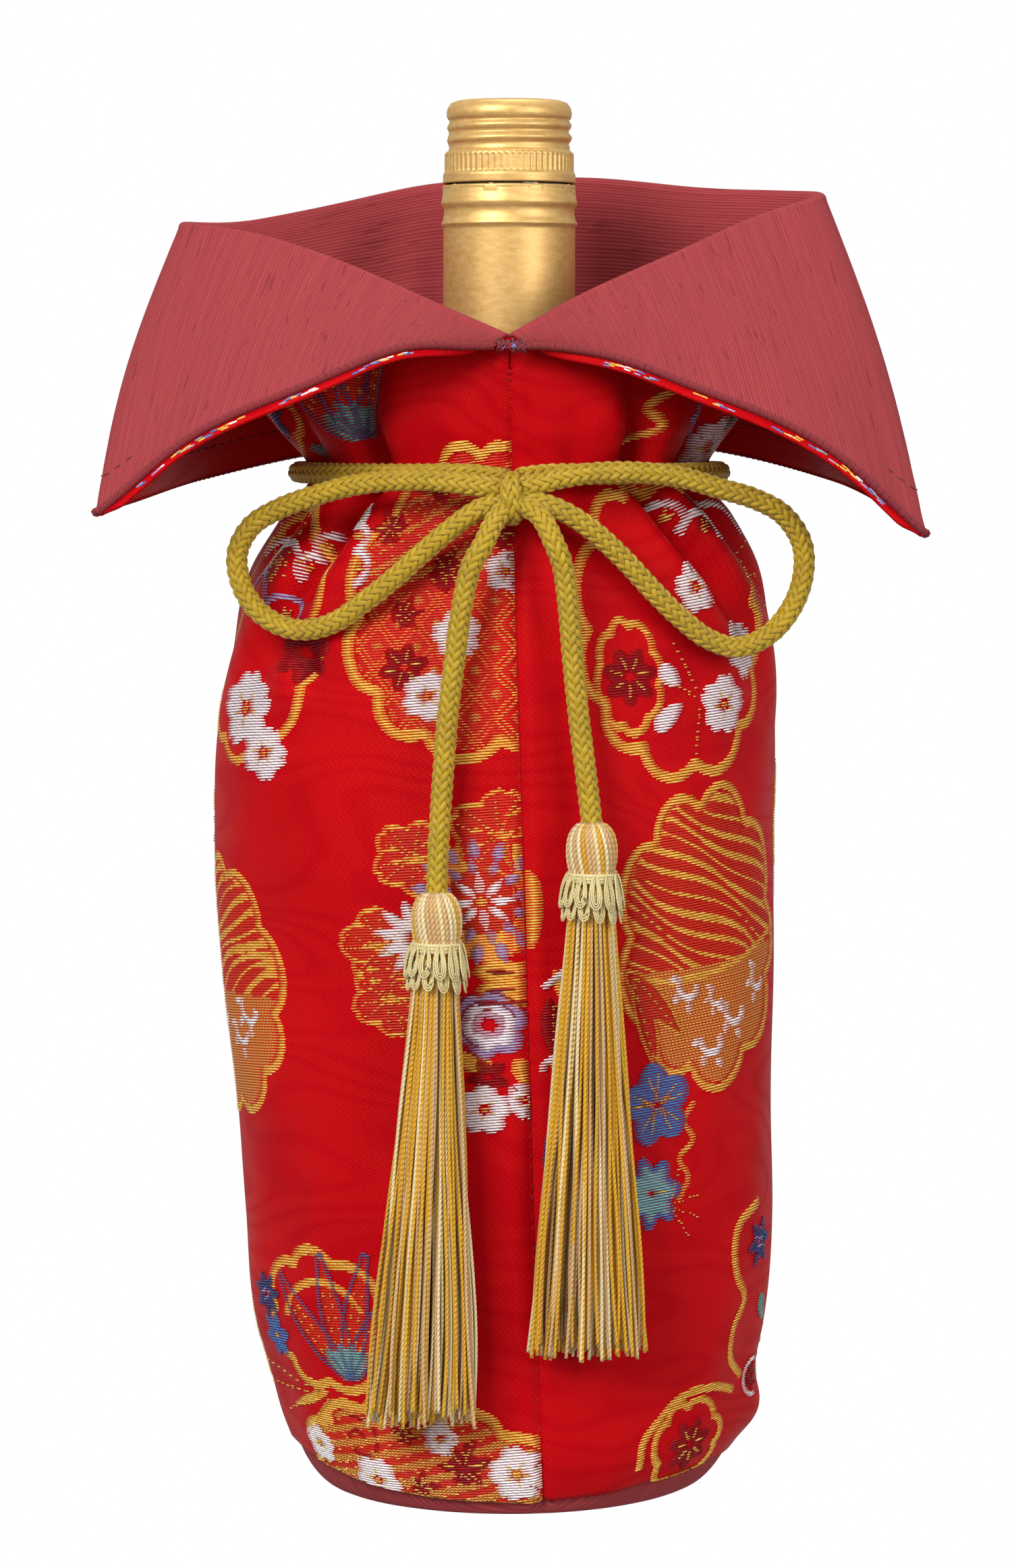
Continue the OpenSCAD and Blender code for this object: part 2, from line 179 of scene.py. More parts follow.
class Tubes:
    """Many tubes gathered into one mesh. UV: turns round the tube, then mm along it."""

    def __init__(self):
        self.points, self.faces, self.uv, self.count = [], [], [], 0

    def put(self, rings, across, run):
        """Adds one tube, closed at its ends, from its rings of points and their UV numbers."""
        rows, sides = rings.shape[:2]
        self.points.append(rings.reshape(-1, 3))
        self.uv.append(np.stack(np.broadcast_arrays(across, run[:, None]), -1).reshape(-1, 2))
        self.faces += grid_faces(rows, sides, self.count, False, True)
        last = self.count + (rows - 1) * sides
        self.faces.append(tuple(range(self.count + sides - 1, self.count - 1, -1)))
        self.faces.append(tuple(range(last, last + sides)))
        self.count += rows * sides

    def add(self, path, radius, sides=8, side=(0, 1, 0), flat=1.0):
        """Adds a plain round tube along a path; flat below 1 presses it."""
        _, u, v = frames(path, side)
        angle = np.arange(sides) * TAU / sides
        ring = np.cos(angle)[None, :, None] * u[:, None] + flat * np.sin(angle)[None, :, None] * v[:, None]
        self.put(path[:, None] + radius * ring, angle[None] / TAU, run_along(path))

    def build(self, name, material, body, slot, wraps=True):
        points, uv = np.concatenate(self.points), np.concatenate(self.uv)
        return new_object(name, points, self.faces, uv, material, body, wraps)


def lathe(name, profile, segments, material, body, ripple=None):
    """A closed turned shape round Z. Profile: (radius, height) pairs; ripple changes radius by angle."""
    profile = arr(profile)
    angle = np.arange(segments) * TAU / segments
    radius = np.repeat(profile[:, :1], segments, 1)
    if ripple is not None:
        radius = radius + ripple(profile[:, 1:2], angle[None, :]) * (radius > 1)
    points = turned(radius, angle, profile[:, 1:2])
    run = run_along(profile)
    around = np.minimum(np.arange(segments), segments - np.arange(segments)) / segments * 2
    uv = np.stack(np.broadcast_arrays(around[None, :] * 47, run[:, None]), -1)
    faces = grid_faces(len(profile), segments, 0, False, True)
    last = (len(profile) - 1) * segments
    closing = [(last + c, last + (c + 1) % segments, (c + 1) % segments, c) for c in range(segments)]
    return new_object(name, points.reshape(-1, 3), faces + closing, uv.reshape(-1, 2), material, body)


# ------------------------------------------------------------------ materials
class Nodes:
    """Shorthand for building one node material."""

    def __init__(self, name, **settings):
        self.material = bpy.data.materials.new(name)
        self.material.use_nodes = True
        self.tree = self.material.node_tree
        self.shader = self.tree.nodes["Principled BSDF"]
        for socket, value in settings.items():
            self.shader.inputs[socket.replace("_", " ")].default_value = value

    def node(self, kind, **inputs):
        node = self.tree.nodes.new(kind)
        for key, value in inputs.items():
            if hasattr(node, key) and key not in node.inputs:
                setattr(node, key, value)
            else:
                self.put(node.inputs[key], value)
        return node

    def put(self, socket, value):
        if isinstance(value, bpy.types.NodeSocket):
            self.tree.links.new(value, socket)
        else:
            socket.default_value = value

    def math(self, operation, a, b=0.0, c=0.0):
        node = self.tree.nodes.new("ShaderNodeMath")
        node.operation = operation
        for socket, value in zip(node.inputs, (a, b, c)):
            self.put(socket, value)
        return node.outputs[0]

    def mul(self, a, b):
        return self.math("MULTIPLY", a, b)

    def add(self, a, b):
        return self.math("ADD", a, b)

    def mad(self, a, b, c):
        """a times b, plus c."""
        return self.math("MULTIPLY_ADD", a, b, c)

    def rest(self, a):
        """What a leaves of 1."""
        return self.math("SUBTRACT", 1.0, a)

    def uv(self):
        """The two UV numbers as separate sockets."""
        source = self.tree.nodes.new("ShaderNodeUVMap")
        source.uv_map = "UVMap"
        split = self.tree.nodes.new("ShaderNodeSeparateXYZ")
        self.tree.links.new(source.outputs[0], split.inputs[0])
        return split.outputs[0], split.outputs[1]

    def vector(self, x, y, z=0.0):
        node = self.tree.nodes.new("ShaderNodeCombineXYZ")
        for socket, value in zip(node.inputs, (x, y, z)):
            self.put(socket, value)
        return node.outputs[0]

    def wave(self, x, period):
        """0 to 1 and back, once every period."""
        turns = self.math("MULTIPLY", x, TAU / period)
        return self.math("MULTIPLY_ADD", self.math("SINE", turns), 0.5, 0.5)

    def noise(self, vector, scale, detail=2.0, roughness=0.5):
        node = self.node("ShaderNodeTexNoise", Vector=vector, Scale=scale, Detail=detail, Roughness=roughness)
        return node.outputs["Fac"]

    def streaks(self, x, x_scale, y, y_scale, scale, detail=2.0, roughness=0.5):
        """Noise drawn out along x or y, by scaling the two apart."""
        return self.noise(self.vector(self.mul(x, x_scale), self.mul(y, y_scale)), scale, detail, roughness)

    def ramp(self, fac, stops):
        node = self.tree.nodes.new("ShaderNodeValToRGB")
        self.put(node.inputs[0], fac)
        elements = node.color_ramp.elements
        while len(elements) < len(stops):
            elements.new(0.5)
        for element, (place, colour) in zip(elements, stops):
            element.position = place
            element.color = (*colour, 1)
        return node.outputs[0]

    def mix(self, fac, a, b):
        node = self.tree.nodes.new("ShaderNodeMix")
        node.data_type = "RGBA"
        self.put(node.inputs[0], fac)
        for socket, value in ((node.inputs[6], a), (node.inputs[7], b)):
            self.put(socket, (*value, 1) if isinstance(value, tuple) and len(value) == 3 else value)
        return node.outputs[2]

    def finish(self, colour, height=None, strength=0.5, distance=0.1, roughness=None):
        self.put(self.shader.inputs["Base Color"], (*colour, 1) if isinstance(colour, tuple) else colour)
        if roughness is not None:
            self.put(self.shader.inputs["Roughness"], roughness)
        if height is not None:
            bump = self.node("ShaderNodeBump", Height=height, Strength=strength, Distance=distance * MM)
            self.put(self.shader.inputs["Normal"], bump.outputs[0])
        return self.material


def rgb(code):
    """Linear colour from an sRGB hex code."""
    parts = [int(code[k:k + 2], 16) / 255 for k in (0, 2, 4)]
    return tuple(p / 12.92 if p <= 0.04045 else ((p + 0.055) / 1.055) ** 2.4 for p in parts)


def brocade_ground():
    """Red satin weave: fine steep twill with painted shade in its sunken lines, silky lustre and a faint
    tonal swirl.
    """
    n = Nodes("brocade ground", Roughness=0.42, Anisotropic=0.35)
    n.shader.inputs["Specular IOR Level"].default_value = 0.14
    n.shader.inputs["Specular Tint"].default_value = (*rgb("FF7A6A"), 1)
    s, h = n.uv()
    place = n.vector(n.mul(s, 0.013), n.mul(h, 0.034))
    swirl = n.wave(n.mad(n.noise(place, 1.1, 1.5), 150, h), 13.0)
    swirl = n.math("SMOOTH_MIN", swirl, 0.6, 0.3)
    fault = n.streaks(s, 0.9, h, 2.2, 1.0, 1)
    twill = n.wave(n.mad(fault, 0.5, n.mad(s, -0.5, h)), 0.66)
    weft = n.wave(n.mad(s, 0.25, h), 0.4)
    stitch = n.wave(n.mad(h, 0.6, s), 1.1)
    float_end = n.mul(twill, n.mad(stitch, 0.6, 0.4))
    cloud = n.noise(n.vector(s, h), 0.035, 2)
    red = n.ramp(cloud, [(0.3, rgb("BE0410")), (0.7, rgb("D20814"))])
    red = n.mix(n.mul(swirl, 0.3), red, rgb("E82018"))
    # painted shade: the ground is darkened in the sunken lines between the twill's floats
    red = n.mix(n.mul(n.rest(float_end), 0.42), red, rgb("78000C"))
    height = n.add(n.mul(float_end, 0.8), n.mul(weft, 0.2))
    rough = n.mad(swirl, -0.1, 0.46)
    return n.finish(red, height, 0.7, 0.11, rough)


def float_thread(name, light, dark, metallic=0.0, rough=0.4):
    """A silky or gilt weft thread lying across the cloth: fine fibres along it, bound down here and there,
    with painted shade in the dips where it is bound.
    """
    n = Nodes(name, Roughness=rough, Metallic=metallic)
    n.shader.inputs["Specular IOR Level"].default_value = 0.3
    s, h = n.uv()
    fibre = n.streaks(s, 0.7, h, 7, 1.5, 3, 0.6)
    tone = n.streaks(s, 0.25, h, 1.6, 1.0, 2)
    bound = n.wave(n.mad(h, 2.3, s), 2.4)
    colour = n.ramp(n.add(n.mul(fibre, 0.5), n.mul(tone, 0.5)),
                    [(0.38, dark), (0.6, light)])
    # painted shade: the thread is darkened where it is bound down into a dip
    colour = n.mix(n.mul(n.math("GREATER_THAN", bound, 0.9), 0.4), colour, tuple(c * 0.45 for c in dark))
    return n.finish(colour, n.mad(bound, -0.25, fibre), 0.7, 0.1)


def dotted_gold():
    """Gold weft bound down in a fine chequer, so that the red ground shows between its dots."""
    n = Nodes("dotted gold", Roughness=0.42, Metallic=0.15)
    s, h = n.uv()
    up = n.mad(s, -0.09, h)
    a = n.wave(n.mad(s, 0.75, up), 0.72)
    b = n.wave(n.mad(s, -0.75, up), 0.72)
    dot = n.mul(a, b)
    fibre = n.streaks(s, 0.8, h, 5, 1.2, 2)
    colour = n.mix(n.math("MINIMUM", n.mul(dot, 3.2), 1.0), rgb("BE4C1C"), rgb("F0C05A"))
    colour = n.mix(n.mul(fibre, 0.35), colour, rgb("C98A2C"))
    return n.finish(colour, dot, 0.8, 0.12)


def lining_cloth(name="lining cloth", dark=1.0):
    """Maroon cotton: a fine rib with sparse slubs, across the bag inside it and down the collar's flaps. Its
    colour has a painted highlight on the rib's tops and painted shade in its grooves.
    """
    n = Nodes(name, Roughness=0.86, Sheen_Weight=0.12, Sheen_Roughness=0.5)
    n.shader.inputs["Sheen Tint"].default_value = (*rgb("D07070"), 1)
    n.shader.inputs["Specular IOR Level"].default_value = 0.15
    s, h = n.uv()
    over = n.math("GREATER_THAN", h, V_FOLD + 2 * ARC_V)
    under = n.rest(over)
    across = n.add(n.mul(s, over), n.mul(h, under))
    along = n.add(n.mul(h, over), n.mul(s, under))
    drift = n.streaks(along, 0.05, across, 0.5, 0.9, 2)
    rib = n.wave(n.mad(drift, 0.5, across), 0.6)
    warp = n.wave(n.mad(drift, 0.2, along), 0.46)
    slub = n.streaks(along, 0.1, across, 0.95, 1.0, 1)
    slub = n.math("MINIMUM", n.mul(n.math("MAXIMUM", n.math("SUBTRACT", slub, 0.655), 0.0), 18), 1.0)
    rows = n.streaks(along, 0.02, across, 1.6, 1.0, 3, 0.7)
    colour = n.ramp(rows, [(0.3, rgb("8E3136")), (0.5, rgb("9A383B")), (0.7, rgb("A63F42"))])
    # painted highlight on the tops where rib and warp cross
    colour = n.mix(n.mul(n.mul(rib, warp), 0.3), colour, rgb("B9565C"))
    # painted shade in the grooves of the rib
    colour = n.mix(n.mul(n.rest(rib), 0.3), colour, rgb("641C26"))
    colour = n.mix(n.mul(slub, 0.45), colour, rgb("641C26"))
    # dark below 1 mixes in a deep maroon: a darker copy of this cloth, painted shade, used for the hem's roll
    colour = n.mix(1.0 - dark, colour, rgb("5A1820"))
    height = n.add(rib, n.mad(warp, 0.45, n.mul(slub, 0.6)))
    return n.finish(colour, height, 0.6, 0.11)


def spun(name, light, dark, pitch, bump=0.9, rough=0.5):
    """Two-ply yarn: UV x counts turns round it and two more for each yarn, UV y is mm along it."""
    n = Nodes(name, Roughness=rough, Sheen_Weight=0.2, Sheen_Roughness=0.4, Anisotropic=0.3)
    around, along = n.uv()
    own = n.math("FLOOR", n.mul(around, 0.5))
    ply = n.wave(n.mad(along, -1 / pitch, n.mul(around, 2)), 1.0)
    fibre = n.wave(n.mad(along, -1 / pitch, n.mul(around, 12)), 1.0)
    white = n.tree.nodes.new("ShaderNodeTexWhiteNoise")
    white.noise_dimensions = "1D"
    n.put(white.inputs["W"], own)
    tone = n.noise(n.vector(own, n.mul(along, 0.03)), 1.3, 2)
    colour = n.mix(n.mad(white.outputs["Value"], 0.6, n.mul(tone, 0.4)), dark, light)
    # painted shade in the groove between the two plies
    painted_groove_shade = n.math("POWER", n.rest(ply), 2.0)
    colour = n.mix(n.mul(painted_groove_shade, 0.55), colour, tuple(c * 0.42 for c in dark))
    colour = n.mix(n.mul(fibre, 0.12), colour, tuple(c * 0.5 for c in dark))
    return n.finish(colour, n.mad(fibre, 0.12, ply), bump, 0.14)


def cord_strand():
    """Filament bundles of the olive-gold braid, with painted shade in the lines between them."""
    n = Nodes("cord strand", Roughness=0.36, Sheen_Weight=0.2, Anisotropic=0.4)
    n.shader.inputs["Specular IOR Level"].default_value = 0.4
    around, along = n.uv()
    fibre = n.streaks(around, 7, along, 0.35, 1.8, 3, 0.6)
    line = n.wave(n.mad(fibre, 0.35, around), 0.17)
    tone = n.noise(n.vector(along, around), 0.12, 2)
    colour = n.ramp(tone, [(0.3, rgb("B8960A")), (0.55, rgb("C6A20E")), (0.75, rgb("D8B41A"))])
    # painted shade in the low lines between the filament bundles
    colour = n.mix(n.mul(n.rest(line), 0.4), colour, rgb("7A6204"))
    return n.finish(colour, n.add(line, fibre), 0.6, 0.06)


def cap_metal(name):
    """Satin gold lacquer over aluminium, with faint turning lines and small scuffs."""
    n = Nodes(name, Metallic=0.55, Roughness=0.42, Anisotropic=0.4, Coat_Weight=0.15, Coat_Roughness=0.3)
    around, up = n.uv()
    lines = n.streaks(around, 0.02, up, 9, 1.0, 3, 0.7)
    scuff = n.noise(n.vector(n.mul(around, 0.4), up), 0.8, 4, 0.75)
    colour = n.ramp(scuff, [(0.35, rgb("D6A95E")), (0.65, rgb("E6BD78"))])
    rough = n.mad(scuff, 0.18, 0.34)
    return n.finish(colour, lines, 0.25, 0.03, rough)


def sewing_thread(name, colour, dark):
    """Matt cotton thread with its plies winding round it, and painted shade in the grooves between the plies.
    """
    n = Nodes(name, Roughness=0.6)
    around, along = n.uv()
    ply = n.wave(n.mad(around, 0.5, along), 0.5)
    # painted shade: the thread is dark in the grooves between its plies and its own colour on their tops
    return n.finish(n.mix(ply, dark, colour), ply, 0.7, 0.08)


def speckled(name, base, fleck, rough, scale):
    """A plain material with grain, for the hidden board, seal and liquid."""
    n = Nodes(name, Roughness=rough)
    place = n.node("ShaderNodeTexCoord").outputs["Object"]
    grain = n.noise(place, scale, 4, 0.65)
    return n.finish(n.ramp(grain, [(0.35, base), (0.7, fleck)]), grain, 0.4, 0.1)


def bottle_glass():
    """Dark green glass, hidden but for the mouth of the bag."""
    n = Nodes("bottle glass", Roughness=0.04, IOR=1.52, Transmission_Weight=0.9)
    place = n.node("ShaderNodeTexCoord").outputs["Object"]
    ripple = n.noise(place, 30, 2)
    return n.finish(n.ramp(ripple, [(0.4, rgb("2C3A1A")), (0.6, rgb("34431F"))]), ripple, 0.12, 0.2)


# ------------------------------------------------------------------ the bag's surface
# Height, half width to the left, half width to the right, half depth: the rows of the CAD wall
WALL_ROWS = arr([
    [3.6, 47.3, 49.5, 40.5], [9, 49, 52, 42.5], [22, 52, 53.5, 43.5], [40, 56, 56, 44],
    [60, 57.3, 57.2, 44], [85, 59, 57, 44], [112, 62, 57.3, 43.8], [143, 63.6, 57.4, 43.4],
    [164, 63, 57.6, 42.8], [182, 59.6, 56.6, 41.6], [199, 54.8, 52.7, 39.6],
    [211, 47.5, 47, 36.5], [221.5, 43, 42.5, 34.5]])
HEM_Z, NECK_Z = 3.6, 221.5
CORNER_LIFT = 6.5             # how far the hem rises at the bag's left and right
SEAM_FOOT_X, SEAM_SLOPE = 7.3, 0.0305            # the front seam's place at the foot, and how it leans
PLEATS_END = 258              # height above which the cloth lies smooth
# The fold of the collar, from the front, round one side, to the back; then its free edge
FOLD = {
    -1: [[0, -41, 250], [-16, -34, 257], [-36, -17, 266], [-55, 0, 272.5], [-72, 15, 275.5],
         [-61, 32, 276], [-41, 41, 280], [-19, 45.5, 285], [0, 46.5, 286.5]],
    1: [[0, -41, 250], [16, -34, 259], [36, -17, 268], [53, -1, 276], [68.5, 13, 281.5],
        [61, 31, 283], [43, 39.5, 284], [20, 45, 286.5], [0, 46.5, 286.5]]}
EDGE = {
    -1: [[-3, -42.6, 248.6], [-25, -48, 246], [-47, -51, 237.5], [-69, -52, 228], [-85.6, -52, 213.5],
         [-80, -8, 215.5], [-68, 30, 219.5], [-38, 49, 226], [0, 51.6, 228]],
    1: [[3, -42.6, 248.6], [24, -48, 245], [46, -51, 236], [68, -52, 223.5], [85.6, -52, 209],
        [77, -8, 217], [67, 29, 221.5], [38, 49, 227], [0, 51.6, 228]]}
TIP = 4                       # the column of FOLD and EDGE that ends at the collar's tip
HALF_ROUND = 160.0            # mm of cloth from the front seam to the back seam
FOLD_RADIUS = 1.6
CLOTH = 0.7                   # thickness of each layer
GAP = 0.05                    # each layer lies this far from the middle between them
FUNNEL_V, ARC_V, COLLAR_V = 45.0, 1.3, 60.0      # how rows are spaced above the neck
V_FOLD = NECK_Z + FUNNEL_V
V_COLLAR = V_FOLD + 4 * ARC_V
V_EDGE = V_COLLAR + COLLAR_V


def arc_table():
    """Angle from the front against mm of cloth, round the bag's widest ellipse."""
    t = np.linspace(0, math.pi, 721)
    step = np.hypot(58 * np.cos(t), 43.5 * np.sin(t))
    run = np.concatenate([[0], np.cumsum((step[1:] + step[:-1]) / 2 * np.diff(t))])
    return run * HALF_ROUND / run[-1], t / math.pi


ARC_S, ARC_U = arc_table()


def share_round(s):
    """Share of the way round one side, from mm of cloth away from the front seam."""
    return np.interp(np.abs(s), ARC_S, ARC_U)


def seam_lean(z, half_right):
    """Angle round the wall by which the front seam stands off the middle at height z."""
    return np.arcsin((SEAM_FOOT_X - SEAM_SLOPE * z) / half_right)


def wall(u, z, side):
    """Points of the wall, rows by columns, for shares u and heights z."""
    half_left, half_right, depth = hermite(WALL_ROWS[:, 0], WALL_ROWS[:, 1:], z).T
    lean = seam_lean(z, half_right)[:, None] * (1 - u[None]) ** 3
    a = -math.pi / 2 + lean + side * math.pi * u[None]
    c = np.cos(a)
    x = np.where(c < 0, half_left[:, None], half_right[:, None]) * c
    lift = CORNER_LIFT * c * c * np.maximum(0, 1 - (z - HEM_Z) / 30)[:, None]
    return np.stack([x, depth[:, None] * np.sin(a), z[:, None] + lift], -1)


def edge_curve(points, u):
    """The collar's free edge: smooth on each side of the tip, with a corner at the tip."""
    at = np.linspace(0, 1, 9)
    points = arr(points)
    front = hermite(at[:TIP + 1], points[:TIP + 1], u)
    back = hermite(at[TIP:], points[TIP:], u)
    return np.where((u < at[TIP])[:, None], front, back)


FLAP_T = np.array([0.08, 0.22, 0.38, 0.54, 0.7, 0.85, 1.0])


def key_rows(u, side):
    """Rows of points that the surface runs through, with the row number v of each."""
    walls = wall(u, WALL_ROWS[:, 0], side)
    low = walls[-1]
    fold = hermite(np.linspace(0, 1, 9), FOLD[side], u)
    edge = edge_curve(EDGE[side], u)
    rows, v = list(walls), list(WALL_ROWS[:, 0])
    out = unit(fold * [1, 1, 0])
    for share, bulge in ((0.3, 2.4), (0.65, 1.6)):
        rows.append(low + (fold - low) * share + out * bulge * np.sin(math.pi * u[:, None]) ** 0.6)
        v.append(NECK_Z + FUNNEL_V * share)
    rise, fall = unit(fold - low), unit(edge - fold)
    peak = unit(rise - fall)
    across = unit(fall + rise - peak * ((fall + rise) * peak).sum(-1, keepdims=True))
    centre = fold - peak * FOLD_RADIUS
    for k, turn in enumerate(np.radians([-90, -45, 0, 45, 90])):
        rows.append(centre + FOLD_RADIUS * (peak * math.cos(turn) + across * math.sin(turn)))
        v.append(V_FOLD + ARC_V * k)
    start, away = rows[-1], unit((fold + edge) * [1, 1, 0])
    swell = np.where(u < TIP / 8, 1.0, 3.0)[:, None]
    for t in FLAP_T:
        rows.append(start + (edge - start) * t + away * swell * math.sin(math.pi * t))
        v.append(V_COLLAR + COLLAR_V * t)
    return np.stack(rows), arr(v)


# Pleats from the top down: height, mm round from the front seam, depth, half width
PLEATS = [
    [(262, -37, 1, 7), (244, -38, 6.0, 5.5), (222, -40, 9.5, 4.2), (205, -45, 8.0, 4.6), (190, -52, 5.4, 5.4),
     (180, -56, 2.6, 6.5), (164, -61, 0, 8)],
    [(262, 33, 1, 7), (246, 34, 5.5, 5.5), (222, 37, 9.5, 4.2), (209, 43, 8.2, 4.6), (196, 53, 6.0, 5.4),
     (184, 61, 3.0, 7), (166, 66, 0, 8)],
    [(240, -60, 1.2, 4), (222, -62, 4.6, 4.5), (206, -67, 3.6, 5.5), (190, -74, 2.0, 7), (170, -78, 0, 8)],
    [(244, 55, 1.5, 4), (222, 57, 4.6, 4.5), (207, 63, 3.8, 5.5), (192, 72, 2.2, 7), (172, 78, 0, 8)],
    [(236, -20, 0, 4), (222, -21, 1.4, 3.5), (206, -24, 1.0, 4), (190, -26, 0, 6)],
    [(240, 17, 0, 4), (222, 18, 1.6, 3.5), (208, 20, 1.0, 4), (192, 24, 0, 6)],
]
for k in range(5):
    for way in (-1, 1):
        place = way * (80 + 17.2 * k + 2.2 * math.sin(5 * k + way))
        deep = 4.6 + 0.8 * math.sin(3 * k + 2 * way)
        PLEATS.append([(268, place * 1.01, 0, 6), (244, place, deep * 0.45, 5), (222, place, deep, 4.4),
                       (204, place + way * 1.5, deep * 0.7, 5.6), (186, place + way * 3, deep * 0.35, 7),
                       (160, place + way * 4, 0, 9)])
# A pucker of the cloth under the left loop, and soft dents and swells: height, place, depth, half sizes
DENTS = [
    (181, -44, 3.6, 5, 4), (176, -47, -1.4, 5, 6), (186, -38, -1.2, 6, 5),
    (172, -60, -1.2, 12, 9), (205, -26, -1.3, 8, 12), (204, 24, -1.2, 8, 12),
    (150, 60, 0.9, 30, 16), (120, -48, 0.9, 26, 18), (70, 30, 0.7, 22, 26), (96, -16, 0.6, 30, 14),
    (13, 74, -2.0, 7, 8), (30, 62, 0.9, 14, 9), (26, -66, 0.8, 16, 10), (48, 6, 0.5, 30, 16),
    (140, -118, 1.0, 34, 18), (90, 112, 1.0, 30, 20), (60, -100, 0.8, 28, 20), (150, 128, 0.9, 26, 18)]


def relief(s, v):
    """How far the cloth stands out at s mm round and height v: pleats, dents and seams."""
    total = np.zeros(np.broadcast(s, v).shape)
    for pleat in PLEATS:
        h, place, depth, width = arr(pleat)[::-1].T
        away = s - np.interp(v, h, place)
        w = np.interp(v, h, width)
        out = 0.08 + 0.5 * (1 - np.exp(-((v - NECK_Z) / 7) ** 2))
        total += np.interp(v, h, depth) * (out * np.exp(-(away / (2.3 * w)) ** 2) - np.exp(-(away / w) ** 2))
    for h, place, depth, tall, wide in DENTS:
        total -= depth * np.exp(-((v - h) / tall) ** 2 - ((s - place) / wide) ** 2)
    ripple = np.sin(0.13 * s + 0.05 * v) * np.sin(0.045 * v + 1.7) + 0.5 * np.sin(0.31 * s - 0.09 * v + 2)
    total += 0.28 * ripple * smooth(np.abs(s) / 12) * smooth((HALF_ROUND - np.abs(s)) / 12)
    for seam in (0.0, HALF_ROUND):
        near = np.exp(-((np.abs(s) - seam) / 1.3) ** 2)
        total -= (0.85 + 0.12 * np.sin(v * 1.9)) * near * (v < V_FOLD)
        total += 0.25 * np.exp(-((np.abs(s) - abs(seam - 3.2)) / 1.6) ** 2) * (v < V_FOLD)
    return total * (1 - smooth((v - PLEATS_END) / 8))


class Surface:
    """One side of the bag as a fine grid of points on the middle between its two layers."""

    def __init__(self, side, columns, wall_rows, funnel_rows, fold_rows, collar_rows):
        self.side = side
        s = np.linspace(0, HALF_ROUND, columns)
        self.s = side * s
        u = share_round(s)
        keys, v_keys = key_rows(u, side)
        low = np.linspace(HEM_Z, 200, int(wall_rows * 0.72), endpoint=False)
        self.v = np.concatenate([
            low, np.linspace(200, NECK_Z, wall_rows - len(low), endpoint=False),
            np.linspace(NECK_Z, V_FOLD, funnel_rows, endpoint=False),
            np.linspace(V_FOLD, V_COLLAR, fold_rows, endpoint=False),
            np.linspace(V_COLLAR, V_EDGE, collar_rows)])
        grid = np.empty((len(self.v), columns, 3))
        is_wall = self.v <= NECK_Z - 10.5
        grid[is_wall] = wall(u, self.v[is_wall], side)
        above = hermite(v_keys, keys.reshape(len(v_keys), -1), self.v[~is_wall])
        grid[~is_wall] = above.reshape(-1, columns, 3)
        grid = self.soften(grid)
        grid = grid + relief(self.s[None], self.v[:, None])[..., None] * self.outward(grid)
        grid = self.drape(grid)
        self.mid, self.normal = grid, self.outward(grid)

    def soften(self, grid):
        """Rounds the ridge from the collar's shoulder to its tip, less and less towards the tip."""
        t = smooth((self.v - V_FOLD + 30) / 34) * (1 - smooth((self.v - V_COLLAR) / COLLAR_V) ** 0.7)
        weight = np.clip(t, 0, 1)[:, None, None] * 0.5
        for _ in range(60):
            middle = (grid[:, :-2] + grid[:, 2:]) / 2
            grid[:, 1:-1] += weight * (middle - grid[:, 1:-1])
        return grid

    def drape(self, grid):
        """Slow waves of the hanging collar, growing towards its free edge."""
        t = smooth((self.v - V_COLLAR - 6) / (COLLAR_V - 6))[:, None]
        s = self.s[None]
        wave = 1.1 * np.sin(s * 0.062 + 0.8 * self.side) + 0.55 * np.sin(s * 0.16 + 1.1 + self.side)
        wave *= smooth(np.abs(s) / 22) * smooth((HALF_ROUND - np.abs(s)) / 14)
        return grid + (t * wave)[..., None] * self.outward(grid)

    def outward(self, grid):
        """Unit normals on the red side of the cloth."""
        return self.side * grid_normals(grid)

    def face(self, red, away):
        """The face of the red or the maroon layer, moved away from the middle."""
        return self.mid + self.normal * (away if red else -away)

    def uv(self):
        """Cloth coordinates in mm; heights are measured without the pleats' extra length."""
        v = np.broadcast_to(self.v[:, None], (len(self.v), len(self.s)))
        funnel = NECK_Z + (np.minimum(v, V_FOLD) - NECK_Z) * self.scale_above()
        h = np.where(v > NECK_Z, funnel, v) + np.maximum(v - V_FOLD, 0)
        return np.stack([np.broadcast_to(self.s, v.shape), h], -1)

    def scale_above(self):
        """mm of cloth per step of v between the neck and the fold, for each column."""
        rows = (self.v >= NECK_Z) & (self.v <= V_FOLD)
        run = np.linalg.norm(np.diff(self.mid[rows], axis=0), axis=2).sum(0)
        return run / FUNNEL_V

    def place(self, s, h, away):
        """Points on the red face for cloth coordinates s and h, raised by away."""
        column = np.clip(np.abs(s) / HALF_ROUND * (len(self.s) - 1), 0, len(self.s) - 1.001)
        stretch = np.interp(column, np.arange(len(self.s)), self.scale_above())
        v = np.where(h > NECK_Z, NECK_Z + (h - NECK_Z) / stretch, h)
        row = np.interp(v, self.v, np.arange(len(self.v)))
        row = np.clip(row, 0, len(self.v) - 1.001)
        r, c = row.astype(int), column.astype(int)
        fr, fc = (row - r)[:, None], (column - c)[:, None]

        def blend(grid):
            return ((grid[r, c] * (1 - fc) + grid[r, c + 1] * fc) * (1 - fr)
                    + (grid[r + 1, c] * (1 - fc) + grid[r + 1, c + 1] * fc) * fr)
        return blend(self.mid) + unit(blend(self.normal)) * (GAP + CLOTH + away)[:, None]


# ------------------------------------------------------------------ cord
CORD_D = 4.6
STRANDS = 8                   # in each direction
BRAID_TURN = 17.0             # mm of cord for one turn of a strand
STRAND_WIDE, STRAND_THICK = 0.62, 0.46


